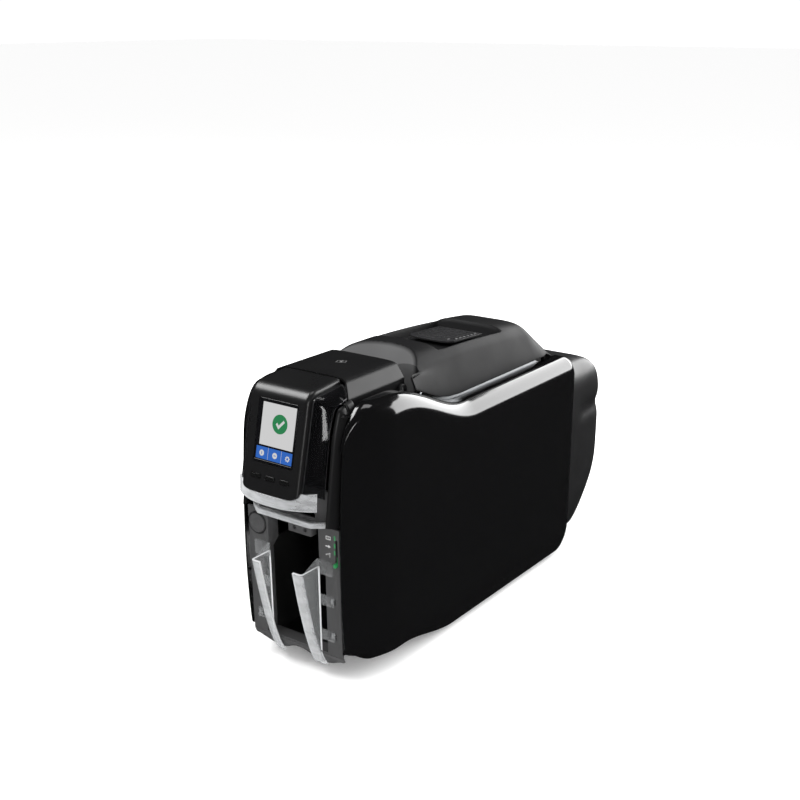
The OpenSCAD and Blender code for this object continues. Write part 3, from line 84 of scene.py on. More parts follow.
def fill(node, values):
    for name, value in values.items():
        node.inputs[name].default_value = value


studioLook = {
    "floorColour": (0.93, 0.93, 0.93),
    "floorGlow": 0.14,  # keeps the paper white far from the lamps
    "floorSize": 40,
    "reflected": 0.012,  # brightness of the dark room that the plastics reflect
    "surround": 0.93,
    "backdrop": 1.05,  # what the camera sees past the paper
    "lamps": [  # name, place, aimed at, width, height, power, colour
        ("bandLamp", (0.75, 1.9, 0.95), (0, -0.05, 0.2), 2.6, 1.5, 80, (1, 1, 1)),
        ("bendLamp", (-1.15, -0.75, 1.75), (0, -0.2, 0.25), 1.1, 0.9, 34, (1, 1, 1)),
        ("topLamp", (0.2, 0.1, 2.2), (0, 0, 0.2), 0.8, 1.2, 10, (1, 1, 1)),
        ("rightLamp", (1.9, -1.55, 0.7), (0, -0.2, 0.2), 0.35, 1.1, 12, (1, 1, 1)),
    ],
}


def makeStudio(look):
    scene = bpy.context.scene
    world = bpy.data.worlds.new("studio")
    scene.world = world
    world.use_nodes = True
    tree = world.node_tree
    tree.nodes.clear()
    out = tree.nodes.new("ShaderNodeOutputWorld")
    path = tree.nodes.new("ShaderNodeLightPath")
    seen = tree.nodes.new("ShaderNodeBackground")
    reflected = tree.nodes.new("ShaderNodeBackground")
    mix = tree.nodes.new("ShaderNodeMixShader")
    seen.inputs["Color"].default_value = (1, 1, 1, 1)
    strength = tree.nodes.new("ShaderNodeMix")
    tree.links.new(path.outputs["Is Camera Ray"], strength.inputs["Factor"])
    fill(strength, {"A": look["surround"], "B": look["backdrop"]})
    tree.links.new(strength.outputs["Result"], seen.inputs["Strength"])
    fill(reflected, {"Color": (1, 1, 1, 1), "Strength": look["reflected"]})
    tree.links.new(path.outputs["Is Glossy Ray"], mix.inputs["Fac"])
    tree.links.new(seen.outputs[0], mix.inputs[1])
    tree.links.new(reflected.outputs[0], mix.inputs[2])
    tree.links.new(mix.outputs[0], out.inputs["Surface"])
    for name, spot, aim, width, height, power, colour in look["lamps"]:
        data = bpy.data.lights.new(name, "AREA")
        data.shape = "RECTANGLE"
        data.size = width
        data.size_y = height
        data.energy = power
        data.color = colour
        lamp = bpy.data.objects.new(name, data)
        scene.collection.objects.link(lamp)
        lamp.location = spot
        lamp.rotation_mode = "QUATERNION"
        lamp.rotation_quaternion = (Vector(aim) - Vector(spot)).to_track_quat("-Z", "Y")
    bpy.ops.object.select_all(action="DESELECT")
    bpy.ops.mesh.primitive_plane_add(size=look["floorSize"], location=(0, 0, -0.0002))
    floor = bpy.context.object
    floor.name = "floor"
    paper = bpy.data.materials.new("floorPaper")
    paper.use_nodes = True
    shader = paper.node_tree.nodes["Principled BSDF"]
    fill(shader, {
        "Base Color": (*look["floorColour"], 1), "Roughness": 0.9, "Specular IOR Level": 0.1,
        "Emission Color": (1, 1, 1, 1), "Emission Strength": look["floorGlow"],
    })
    floor.data.materials.append(paper)
    floor.visible_glossy = False  # keeps the paper's white out of the black gloss


bpy.context.scene.view_settings.view_transform = "Standard"
makeCamera(cameraLook)
makeStudio(studioLook)
print("camera and studio ready")

# materials: read on Object coordinates, in metres


class Finish:
    def __init__(self, name, made=None):  # made is a material to add to
        self.material = made or bpy.data.materials.new(name)
        self.material.use_nodes = True
        self.tree = self.material.node_tree
        self.shader = self.tree.nodes["Principled BSDF"]
        if made:
            self.coordinates = self.tree.nodes["Texture Coordinate"]
        else:
            self.coordinates = self.tree.nodes.new("ShaderNodeTexCoord")

    def node(self, kind, **settings):
        made = self.tree.nodes.new(kind)
        for key, value in settings.items():
            setattr(made, key, value)
        return made

    def link(self, source, target):
        self.tree.links.new(source, target)

    def noise(self, scale, detail=3, roughness=0.5, stretch=None):
        made = self.node("ShaderNodeTexNoise")
        fill(made, {"Scale": scale, "Detail": detail, "Roughness": roughness})
        source = self.coordinates.outputs["Object"]
        if stretch:
            mapping = self.node("ShaderNodeMapping")
            mapping.inputs["Scale"].default_value = stretch
            self.link(source, mapping.inputs["Vector"])
            source = mapping.outputs["Vector"]
        self.link(source, made.inputs["Vector"])
        return made.outputs["Fac"]

    def spread(self, value, low, high, fromLow=0.3, fromHigh=0.7):
        made = self.node("ShaderNodeMapRange")
        fill(made, {"From Min": fromLow, "From Max": fromHigh, "To Min": low, "To Max": high})
        self.link(value, made.inputs["Value"])
        return made.outputs["Result"]

    def tint(self, value, first, second):
        made = self.node("ShaderNodeMix", data_type="RGBA")
        fill(made, {"A": (*first, 1), "B": (*second, 1)})
        self.link(value, made.inputs["Factor"])
        return made.outputs["Result"]

    def bump(self, value, strength, distance, below=None):
        made = self.node("ShaderNodeBump")
        fill(made, {"Strength": strength, "Distance": distance})
        self.link(value, made.inputs["Height"])
        if below:
            self.link(below, made.inputs["Normal"])
        return made.outputs["Normal"]


def plasticFinish(name, look):
    finish = Finish(name)
    shader = finish.shader
    patches = finish.noise(look.get("patchScale", 14), 4)
    colour = look["colour"]
    worn = tuple(c * look.get("variation", 1.25) for c in colour)
    finish.link(finish.tint(patches, colour, worn), shader.inputs["Base Color"])
    fine = finish.noise(look.get("grainScale", 900), 2)
    smears = finish.noise(look.get("smearScale", 30), 5, 0.6, look.get("smearStretch"))
    low, high = look["rough"]
    finish.link(finish.spread(smears, low, high), shader.inputs["Roughness"])
    soft = finish.bump(
        finish.noise(look.get("waveScale", 60), 1), look.get("wave", 0.02), 0.0006
    )
    grain = finish.bump(fine, look.get("grain", 0.15), 0.00008, soft)
    finish.link(grain, shader.inputs["Normal"])
    fill(shader, {
        "Specular IOR Level": look.get("specular", 0.5), "Coat Weight": look.get("coat", 0),
        "Coat Roughness": look.get("coatRough", 0.03),
        "Transmission Weight": look.get("clear", 0), "IOR": look.get("ior", 1.49),
    })
    return finish.material


def clearFinish(name, look):  # see-through plastic that lets light fall on what is behind it
    finish = Finish(name)
    shader = finish.shader
    clouds = finish.noise(look.get("cloudScale", 40), 3)
    first = look["colour"]
    finish.link(
        finish.tint(clouds, first, tuple(c * 0.92 for c in first)), shader.inputs["Base Color"]
    )
    finish.link(finish.spread(clouds, *look["rough"]), shader.inputs["Roughness"])
    facing = finish.node("ShaderNodeLayerWeight")
    facing.inputs["Blend"].default_value = look.get("blend", 0.35)
    low, high = look["solid"]  # how solid it looks head-on and at a glance
    solid = finish.spread(facing.outputs["Facing"], low, high, 0, 1)
    # painted highlight: stretched streaks of extra solidity stand in for highlight streaks
    if look.get("streaks"):
        streaks = finish.spread(finish.noise(120, 2, 0.5, (0.25, 1, 1.6)), 0, look["streaks"])
        both = finish.node("ShaderNodeMath", operation="ADD", use_clamp=True)
        finish.link(solid, both.inputs[0])
        finish.link(streaks, both.inputs[1])
        solid = both.outputs[0]
    finish.link(solid, shader.inputs["Alpha"])
    finish.link(finish.bump(finish.noise(25, 1), 0.03, 0.0006), shader.inputs["Normal"])
    shader.inputs["IOR"].default_value = 1.49
    return finish.material


def metalFinish(name, look):
    finish = Finish(name)
    shader = finish.shader
    brushed = finish.noise(look.get("brushScale", 500), 3, 0.6, look.get("stretch", (0.04, 1, 1)))
    colour = look["colour"]
    dark = tuple(c * 0.8 for c in colour)
    finish.link(finish.tint(brushed, colour, dark), shader.inputs["Base Color"])
    low, high = look["rough"]
    finish.link(finish.spread(brushed, low, high), shader.inputs["Roughness"])
    finish.link(finish.bump(brushed, 0.2, 0.00004), shader.inputs["Normal"])
    shader.inputs["Metallic"].default_value = look.get("metal", 1)
    return finish.material


plasticLooks = {
    "glossBlack": {
        "colour": (0.0028, 0.0028, 0.003), "rough": (0.1, 0.16), "grain": 0.02, "wave": 0.01,
        "specular": 0.5, "coat": 0.3,
    },
    "satinBlack": {"colour": (0.006, 0.006, 0.0063), "rough": (0.26, 0.34), "grain": 0.06},
    "coverGrey": {
        "colour": (0.009, 0.009, 0.0094), "rough": (0.4, 0.5), "grain": 0.1, "specular": 0.14,
    },
    "unitGrey": {
        "colour": (0.009, 0.009, 0.0094), "rough": (0.3, 0.4), "grain": 0.1, "specular": 0.4,
    },
    "lidBlack": {
        "colour": (0.006, 0.006, 0.0063), "rough": (0.3, 0.38), "grain": 0.06, "specular": 0.22,
    },
    "keyBlack": {"colour": (0.004, 0.004, 0.004), "rough": (0.12, 0.18), "grain": 0.03},
    "frameGrey": {"colour": (0.05, 0.05, 0.051), "rough": (0.42, 0.52), "grain": 0.2},
    "padGrey": {"colour": (0.016, 0.016, 0.017), "rough": (0.3, 0.4), "grain": 0.06},
    # clearRim and smokyRim: painted highlight, an opaque lighter colour on the rims of the clear
    # and smoky plastic standing in for the light their edges catch
    "clearRim": {
        "colour": (0.7, 0.71, 0.72), "variation": 0.85, "rough": (0.1, 0.2), "grain": 0.02,
    },
    "smokyRim": {
        "colour": (0.3, 0.3, 0.31), "variation": 0.7, "rough": (0.1, 0.2), "grain": 0.02,
    },
    "screenGlass": {
        "colour": (0.003, 0.003, 0.0035), "rough": (0.05, 0.08), "grain": 0.0, "wave": 0.0,
    },
    "blackRubber": {"colour": (0.012, 0.012, 0.012), "rough": (0.65, 0.8), "grain": 0.4},
    "greenBoard": {
        "colour": (0.01, 0.09, 0.035), "rough": (0.3, 0.4), "grain": 0.1, "variation": 1.5,
    },
    "whitePlastic": {
        "colour": (0.6, 0.6, 0.58), "rough": (0.4, 0.5), "grain": 0.1, "variation": 1.05,
    },
    "inkFilm": {"colour": (0.02, 0.02, 0.09), "rough": (0.15, 0.25), "grain": 0.05},
    "leverGreen": {"colour": (0.02, 0.2, 0.06), "rough": (0.35, 0.45), "grain": 0.1},
}
clearLooks = {
    "clear": {"colour": (0.75, 0.77, 0.78), "rough": (0.06, 0.12), "solid": (0.01, 0.3)},
    # clearFront: painted light, a more solid copy of clear that makes the guides' front faces
    # lighter than their sides
    "clearFront": {
        "colour": (0.6, 0.61, 0.62), "rough": (0.06, 0.14), "solid": (0.24, 0.7), "streaks": 0.12,
    },
    # clearLip: more solid than clear, with painted highlight streaks, so the lips look lighter
    "clearLip": {
        "colour": (0.55, 0.56, 0.57), "rough": (0.06, 0.14), "solid": (0.2, 0.8), "streaks": 0.35,
    },
    "smokyClear": {
        "colour": (0.004, 0.004, 0.0045), "rough": (0.05, 0.09), "solid": (0.66, 0.95),
    },
}
metalLooks = {
    "steelSheet": {"colour": (0.3, 0.31, 0.32), "rough": (0.4, 0.55)},
    "turnedSteel": {"colour": (0.6, 0.6, 0.61), "rough": (0.2, 0.32)},
    "aluminium": {"colour": (0.75, 0.75, 0.76), "rough": (0.28, 0.4)},
}
finishes = {}
for makeFinish, looks in (
    (plasticFinish, plasticLooks), (clearFinish, clearLooks), (metalFinish, metalLooks),
):
    for finishName, finishLook in looks.items():
        finishes[finishName] = makeFinish(finishName, finishLook)


def binFinish(name, look):  # grey chin; painted shade: black inside the bin
    finish = Finish(name)
    shader = finish.shader
    axes = finish.node("ShaderNodeSeparateXYZ")
    finish.link(finish.coordinates.outputs["Object"], axes.inputs[0])
    deep = finish.spread(axes.outputs["Y"], 0, 1, *look["paintedShadeFrom"])
    high = finish.spread(axes.outputs["Z"], 0, 1, *look["paintedShadeAbove"])
    paintedShadeMask = finish.node("ShaderNodeMath", operation="MAXIMUM")
    finish.link(deep, paintedShadeMask.inputs[0])
    finish.link(high, paintedShadeMask.inputs[1])
    # painted shade: black inside the bin, grey on the chin
    colour = finish.tint(paintedShadeMask.outputs[0], look["chin"], look["inside"])
    finish.link(colour, shader.inputs["Base Color"])
    grain = finish.noise(900, 2)
    finish.link(finish.spread(finish.noise(30, 5), 0.42, 0.52), shader.inputs["Roughness"])
    finish.link(finish.bump(grain, 0.2, 0.00008), shader.inputs["Normal"])
    return finish.material


finishes["binPlastic"] = binFinish("binPlastic", {
    # inside: painted shade colour for the bin's inside
    "chin": (0.075, 0.075, 0.076), "inside": (0.003, 0.003, 0.003),
    "paintedShadeFrom": ((20 + frontLine) * mm, (21 + frontLine) * mm), "paintedShadeAbove": (0.0265, 0.0275),
})


def coverFinish(name, look):  # painted sheen: lighter on the collar round the lid, standing in for the light the collar catches
    finish = Finish(name, plasticFinish(name, look))
    shader = finish.shader
    plain = shader.inputs["Base Color"].links[0].from_socket
    mapping = finish.node("ShaderNodeMapping", vector_type="POINT")
    across, along = look["collar"]
    fill(mapping, {
        "Location": (0, -look["collarAt"] / along, 0), "Scale": (1 / across, 1 / along, 0),
    })
    finish.link(finish.coordinates.outputs["Object"], mapping.inputs["Vector"])
    far = finish.node("ShaderNodeVectorMath", operation="LENGTH")
    finish.link(mapping.outputs["Vector"], far.inputs[0])
    # mask of the painted sheen: the collar's ellipse round the lid
    inside = finish.spread(far.outputs["Value"], 1, 0, 0.93, 1)
    mixedColour = finish.node("ShaderNodeMix", data_type="RGBA")
    finish.link(inside, mixedColour.inputs["Factor"])
    finish.link(plain, mixedColour.inputs["A"])
    mixedColour.inputs["B"].default_value = (*look["collarPaintedSheen"], 1)
    finish.link(mixedColour.outputs["Result"], shader.inputs["Base Color"])
    return finish.material


finishes["coverPlastic"] = coverFinish("coverPlastic", {
    "colour": (0.009, 0.009, 0.0094), "rough": (0.4, 0.5), "grain": 0.1, "specular": 0.075,
    "collar": (52 * mm, 44 * mm), "collarAt": (118 + frontLine) * mm,
    # painted sheen: the lighter colour on the collar
    "collarPaintedSheen": (0.085, 0.085, 0.086),
})


def litFinish(name, look):  # a lit part of the display, with its fine dots
    finish = Finish(name)
    shader = finish.shader
    dots = finish.noise(look.get("dotScale", 4000), 1)
    colour = look["colour"]
    lit = finish.tint(dots, colour, tuple(c * 0.94 for c in colour))
    finish.link(lit, shader.inputs["Emission Color"])
    unlit = finish.tint(dots, (0.01, 0.01, 0.01), (0.02, 0.02, 0.02))
    finish.link(unlit, shader.inputs["Base Color"])
    finish.link(finish.spread(finish.noise(60, 3), 0.08, 0.14), shader.inputs["Roughness"])
    finish.link(finish.bump(dots, 0.02, 0.00002), shader.inputs["Normal"])
    shader.inputs["Emission Strength"].default_value = look["strength"]
    return finish.material


finishes["screenLight"] = litFinish("screenLight", {"colour": (0.6, 0.6, 0.6), "strength": 1})
finishes["screenBlue"] = litFinish("screenBlue", {"colour": (0.01, 0.11, 0.48), "strength": 1})
finishes["screenGreen"] = litFinish("screenGreen", {"colour": (0.004, 0.19, 0.055), "strength": 1})
finishes["printedWhite"] = plasticFinish("printedWhite", {
    "colour": (0.55, 0.55, 0.55), "variation": 0.8, "rough": (0.4, 0.5), "grain": 0.05,
})
# grey for the lid's print and for the painted highlight line under the display glass
finishes["printAndHighlightGrey"] = plasticFinish("printAndHighlightGrey", {
    "colour": (0.14, 0.14, 0.14), "variation": 0.8, "rough": (0.4, 0.5), "grain": 0.05,
})

finishNodes = {
    "satinBlack": (
        "base_tray", "hopper_cradle", "rear_panel", "fan_housing", "unit_frame",
        "power_inlet", "door_bezel", "door_lid", "fan_rotor", "flipper_cradle",
    ),
    "glossBlack": ("side_panel_right", "side_panel_left"),
    "steelSheet": (
        "frame_plate_right", "frame_plate_left", "transport_motor", "ribbon_motor",
        "head_bracket",
    ),
    "frameGrey": ("front_frame", "power_button"),
    "clearLip": ("feed_lip",),
    "clear": ("bin_guide_right", "bin_guide_left"),
    "binPlastic": ("bin_floor",),
    "turnedSteel": (
        "tie_rods", "usb_socket", "network_socket", "hinge_pins", "panel_screws",
        "motor_pulley",
    ),
    "blackRubber": (
        "rubber_feet", "roller_belt", "motor_belt", "feed_roller", "entry_roller",
        "platen_roller", "exit_roller", "tail_roller", "cleaning_roller", "flipper_roller",
    ),
    "greenBoard": ("main_board", "key_board"),
    "coverGrey": ("unit_cover", "ribbon_cover"),
    "whitePlastic": (
        "ribbon_cartridge", "display_panel", "cover_latch", "entry_pinch",
        "exit_pinch", "tail_pinch", "take_up_spool",
    ),
    "inkFilm": ("ribbon_film", "supply_spool"),
    "smokyClear": ("door_window",),
    "screenGlass": ("display_glass",),
    "keyBlack": ("key_left", "key_middle", "key_right"),
    "leverGreen": ("thickness_lever",),
    "padGrey": ("release_pad",),
    "aluminium": ("print_head",),
}
nodeFinish = {node: name for name, nodes in finishNodes.items() for node in nodes}

for nodeName, finishName in nodeFinish.items():
    mesh = frame["nodes"][nodeName].data
    mesh.materials.clear()
    mesh.materials.append(finishes[finishName])
print("finishes on the CAD nodes")

# shapes: sizes in mm, y from the panels' front line


def clamp01(t):
    return min(1.0, max(0.0, t))


def smooth(t):
    u = clamp01(t)
    return u * u * (3 - 2 * u)


def quarter(t):
    return 1 - math.sqrt(max(0.0, 1 - clamp01(t) ** 2))


def mixed(a, b, t):
    return a + (b - a) * t


def activate(obj):
    bpy.ops.object.select_all(action="DESELECT")
    obj.select_set(True)
    bpy.context.view_layer.objects.active = obj


def applyModifiers(obj):
    activate(obj)
    for modifier in list(obj.modifiers):
        bpy.ops.object.modifier_apply(modifier=modifier.name)


def addBevel(obj, width, segments=3, angle=40):
    bevel = obj.modifiers.new("roundedEdges", "BEVEL")
    bevel.width = width * mm
    bevel.segments = segments
    bevel.limit_method = "ANGLE"
    bevel.angle_limit = math.radians(angle)
    bevel.harden_normals = False
    return bevel


def setFinishes(obj, *names):
    obj.data.materials.clear()
    for name in names:
        obj.data.materials.append(finishes[name])


def finishPiece(obj, body, finishName, replaced=(), smoothAngle=35):
    applyModifiers(obj)
    bpy.ops.object.transform_apply(location=True, rotation=True, scale=True)
    bpy.ops.object.shade_smooth_by_angle(angle=math.radians(smoothAngle))
    if finishName:
        setFinishes(obj, finishName)
    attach(obj, body)
    if replaced:
        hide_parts(*replaced)
    return obj


def formedGrid(name, rows, columns, pointAt):  # outside is where rows x columns points
    bpy.ops.object.select_all(action="DESELECT")
    bpy.ops.mesh.primitive_grid_add(x_subdivisions=columns - 1, y_subdivisions=rows - 1, size=1)
    obj = bpy.context.object
    obj.name = name
    flat = []
    for r in range(rows):
        for c in range(columns):
            flat.extend(at(*pointAt(r / (rows - 1), c / (columns - 1))))
    obj.data.vertices.foreach_set("co", flat)
    obj.data.flip_normals()
    obj.data.update()
    return obj


def addWall(obj, wall, share=None, rimSlot=0):
    solid = obj.modifiers.new("wall", "SOLIDIFY")
    solid.material_offset_rim = rimSlot
    solid.thickness = wall * mm
    solid.offset = -1
    solid.use_even_offset = True
    solid.use_quality_normals = True
    if share:
        group = obj.vertex_groups.new(name="wallShare")
        for vertex in obj.data.vertices:
            group.add([vertex.index], clamp01(share(vertex.co)), "REPLACE")
        solid.vertex_group = group.name
    applyModifiers(obj)


def formedShell(name, rows, columns, pointAt, wall, bevel):
    shell = formedGrid(name, rows, columns, pointAt)
    addWall(shell, wall)
    addBevel(shell, bevel)
    applyModifiers(shell)
    return shell


def outlinePlate(name, points, thick):  # points in mm, raised along Z
    bpy.ops.object.select_all(action="DESELECT")
    bpy.ops.mesh.primitive_circle_add(vertices=len(points), radius=1, fill_type="NGON")
    obj = bpy.context.object
    obj.name = name
    for vertex, (x, y) in zip(obj.data.vertices, points):
        vertex.co = (x * mm, y * mm, 0)
    bpy.ops.object.mode_set(mode="EDIT")
    bpy.ops.mesh.select_all(action="SELECT")
    bpy.ops.mesh.extrude_region_move(TRANSFORM_OT_translate={"value": (0, 0, thick * mm)})
    bpy.ops.mesh.select_all(action="SELECT")
    bpy.ops.mesh.normals_make_consistent(inside=False)
    bpy.ops.object.mode_set(mode="OBJECT")
    return obj


def standAt(obj, origin, across, up):  # turns a plate drawn in XY to where it belongs
    across, up = Vector(across).normalized(), Vector(up).normalized()
    out = across.cross(up)
    turn = Matrix((across, up, out)).transposed().to_4x4()
    obj.data.transform(Matrix.Translation(origin) @ turn)
    return obj


def rodAt(name, start, end, diameter, sides=40):  # start and end in mm, y from the front line
    a, b = at(*start), at(*end)
    bpy.ops.object.select_all(action="DESELECT")
    bpy.ops.mesh.primitive_cylinder_add(
        vertices=sides, radius=diameter * mm / 2, depth=(b - a).length
    )
    obj = bpy.context.object
    obj.name = name
    turn = (b - a).to_track_quat("Z", "Y").to_matrix().to_4x4()
    obj.data.transform(Matrix.Translation((a + b) / 2) @ turn)
    return obj


def boxAt(name, low, high, bevel):
    bpy.ops.object.select_all(action="DESELECT")
    bpy.ops.mesh.primitive_cube_add(size=1)
    obj = bpy.context.object
    obj.name = name
    a, b = at(*low), at(*high)
    size = b - a
    obj.data.transform(Matrix.Translation((a + b) / 2) @ Matrix.Diagonal((*size, 1)))
    addBevel(obj, bevel)
    applyModifiers(obj)
    return obj


def cutAway(obj, cutter):
    cut = obj.modifiers.new("opening", "BOOLEAN")
    cut.operation = "DIFFERENCE"
    cut.object = cutter
    cut.solver = "EXACT"
    applyModifiers(obj)
    bpy.data.objects.remove(cutter)


def joinInto(obj, others):
    bpy.ops.object.select_all(action="DESELECT")
    for other in others:
        other.select_set(True)
    obj.select_set(True)
    bpy.context.view_layer.objects.active = obj
    bpy.ops.object.join()


def fan(first, last, count):  # angles in radians
    return [math.radians(mixed(first, last, k / (count - 1))) for k in range(count)]


def arc(x, y, radius, first, last, count):
    return [(x + radius * math.cos(a), y + radius * math.sin(a)) for a in fan(first, last, count)]


def roundedOutline(width, height, radius, steps=5):
    points = []
    for x, y, first in ((1, 1, 0), (-1, 1, 90), (-1, -1, 180), (1, -1, 270)):
        cx, cy = x * (width / 2 - radius), y * (height / 2 - radius)
        points += arc(cx, cy, radius, first, first + 90, steps)
    return points


def sidePlates(outline, reach, pin, bore):  # a bored plate at each side; outline is (y, z)
    plates = []
    for side in (1, -1):
        plate = outlinePlate("plate", outline, reach[1] - reach[0])
        low = reach[0] if side > 0 else -reach[1]
        standAt(plate, at(low, 0, 0), (0, 1, 0), (0, 0, 1))
        addBevel(plate, 0.4)
        applyModifiers(plate)
        start, end = (low - 2, *pin), (low + reach[1] - reach[0] + 2, *pin)
        cutAway(plate, rodAt("boreCutter", start, end, bore))
        plates.append(plate)
    return plates


def mirroredCopy(obj, name):
    copy = obj.copy()
    copy.data = obj.data.copy()
    copy.name = name
    bpy.context.scene.collection.objects.link(copy)
    copy.data.transform(Matrix.Scale(-1, 4, (1, 0, 0)))
    copy.data.flip_normals()
    return copy


# side panels with the wave-shaped crown

panelLook = {
    "length": 400, "level": 231, "crown": 36.5, "crownEnd": 72, "crownFall": 123,
    "half": 79, "inner": 55.5, "rim": 2.6, "bow": 62, "chin": 16, "skirt": 2,
    "frontTop": (36, 40), "rearBottom": (30, 55), "rearTop": 15, "edge": 9, "wall": 2.4,
    "shoulder": (15, 19),  # width and height of the rounded upper edge
    "waist": (100, 5),  # height at which the front edge stands farthest forward, and its place
    "chinFade": (75, 85), "noseDrop": (14, 30), "rearTuck": (14, 7), "leanEnd": 80,
}


def panelTop(t, look=panelLook):
    level = look["level"] + look["crown"] * (1 - smooth((t - look["crownEnd"]) / look["crownFall"]))
    deep, high = look["frontTop"]
    rear = look["rearTop"]
    front = high * quarter((deep - t) / deep)
    return level - front - rear * quarter((t - look["length"] + rear) / rear)


def panelLow(t, look=panelLook):
    deep, high = look["rearBottom"]
    fadeFrom, fadeLength = look["chinFade"]
    drop, dropLength = look["noseDrop"]
    return (
        mixed(look["chin"], look["skirt"], smooth((t - fadeFrom) / fadeLength))
        + drop * (1 - smooth(t / dropLength))
        + high * quarter((t - look["length"] + deep) / deep)
    )


def panelOut(t, look=panelLook):
    bow = 1 - (1 - clamp01(t / look["bow"])) ** 1.5
    length, inward = look["rearTuck"]
    rear = quarter((t - look["length"] + length) / length)
    return mixed(look["inner"] + look["rim"], look["half"], bow) - inward * rear


def panelLean(z, look=panelLook):
    level, place = look["waist"]
    if z < level:
        return place + 4 * ((level - z) / 80) ** 2
    return place + 6.5 * ((z - level) / 124) ** 2


def panelStation(r):  # closer together at both ends
    look = panelLook
    if r < 0.3:
        return look["bow"] * (r / 0.3) ** 1.6
    if r < 0.8:
        return mixed(look["bow"], look["length"] - look["rearBottom"][0], (r - 0.3) / 0.5)
    return look["length"] - look["rearBottom"][0] * (1 - math.sin(math.pi / 2 * (r - 0.8) / 0.2))


def panelPoint(r, c):
    look = panelLook
    t = panelStation(r)
    out = panelOut(t)
    low = panelLow(t)
    high = panelTop(t)
    edge = min(look["edge"], 0.8 * (out - look["inner"]))
    wide, tall = (min(reach, 0.8 * (out - look["inner"])) for reach in look["shoulder"])
    if c < 0.04:
        x = mixed(look["inner"], out - edge, c / 0.04)
        z = low
    elif c < 0.2:
        a = math.pi / 2 * (c - 0.04) / 0.16
        x = out - edge + edge * math.sin(a)
        z = low + edge - edge * math.cos(a)
    elif c < 0.6:
        x = out
        z = mixed(low + edge, high - tall, (c - 0.2) / 0.4)
    elif c < 0.94:
        a = math.pi / 2 * (c - 0.6) / 0.34
        x = out - wide + wide * math.cos(a)
        z = high - tall + tall * math.sin(a)
    else:
        x = mixed(out - wide, look["inner"], (c - 0.94) / 0.06)
        z = high
    return x, t + panelLean(z) * (1 - smooth(t / look["leanEnd"])), z


def panelWallShare(co):
    t = co.y / mm - frontLine
    return 0.42 + 0.58 * smooth((t + 6) / 26)


def makeSidePanels():
    right = formedGrid("sidePanelRight", 150, 70, panelPoint)
    addWall(right, panelLook["wall"], panelWallShare)
    left = mirroredCopy(right, "sidePanelLeft")
    for panel, node in ((right, "side_panel_right"), (left, "side_panel_left")):
        addBevel(panel, 0.5)
        finishPiece(panel, "chassis", "glossBlack", [node])


makeSidePanels()
print("side panels made")

# ribbon cover: crowned top with the scooped collar and the pad's well

coverLook = {
    "front": 138, "rear": 401, "half": 60, "topHalf": 48, "crest": 285, "crestAt": 160,
    "rearSlope": 66, "rearDrop": 43, "camber": 0.00032, "cheek": 19,
    "scoopAt": 118, "scoopReach": (52, 44), "scoopDepth": 26.6,
    "wellHalf": 41, "wellFrom": 180, "wellTo": 299, "wellDepth": 13, "wall": 2.6, "tuck": 5.5,
    "apron": 247, "apronShare": 0.03, "pin": (378, 217), "earX": (46.7, 50.7), "ear": 12,
    "latchPin": (240, 250), "lugX": (30.3, 33.3), "bore": 5.1, "stem": (9.1, 250.5, 260.1),
}


def coverCrown(y, look=coverLook):
    slope = look["rearSlope"]
    return (
        look["crest"] - look["camber"] * (y - look["crestAt"]) ** 2
        - look["rearDrop"] * smooth((y - look["rear"] + slope) / slope)
    )


def coverLow(y):
    level = panelLook["level"] + panelLook["crown"] * (
        1 - smooth((y - panelLook["crownEnd"]) / panelLook["crownFall"])
    )
    return level + 3 + 3 * smooth((y - 150) / 40) - 14 * smooth((y - coverLook["rear"] + 36) / 36)


def coverShoulder(y):
    return max(coverCrown(y) - 12, mixed(coverLow(y), coverCrown(y), 0.6))


def coverFace(x, y, look=coverLook):
    e = math.hypot(x / look["scoopReach"][0], (y - look["scoopAt"]) / look["scoopReach"][1])
    scoop = look["scoopDepth"] * max(0.0, 1 - e) ** 0.8
    well = (
        look["wellDepth"]
        * smooth((look["wellHalf"] - abs(x)) / 3)
        * smooth((y - look["wellFrom"]) / 14)
        * smooth((look["wellTo"] - y) / 6)
    )
    return mixed(coverCrown(y), coverShoulder(y), (abs(x) / look["topHalf"]) ** 5) - scoop - well


def coverPoint(r, c):  # the first rows are the wall under the front edge
    look = coverLook
    if r >= look["apronShare"]:
        return coverSection((r - look["apronShare"]) / (1 - look["apronShare"]), c)
    x, y, z = coverSection(0, c)
    share = smooth((abs(x) - 45) / 3.5)
    u = r / look["apronShare"]
    low = mixed(look["apron"], z - 1, share)
    return x, y - mixed(2, 0.6, share) * (1 - u), mixed(low, z, u)


def coverSection(r, c):
    look = coverLook
    y = mixed(look["front"], look["rear"], r)
    side = 1 if c < 0.5 else -1
    w = min(c, 1 - c) * 2
    edge = 0.26
    if w < edge:
        u = w / edge
        tuck = look["tuck"] * smooth((y - look["rear"] + 50) / 25)
        x = mixed(look["half"] - tuck, look["topHalf"], u ** 1.25)
        z = mixed(coverLow(y), coverFace(look["topHalf"], y), u)
    else:
        x = look["topHalf"] * (1 - (w - edge) / (1 - edge))
        z = coverFace(x, y)
    reach = look["cheek"] * smooth((x - look["topHalf"] - 1) / 6)
    moved = y - reach * (1 - smooth((y - look["front"]) / 70))
    if x > look["topHalf"]:
        z += coverLow(moved) - coverLow(y)
    return side * x, moved, z


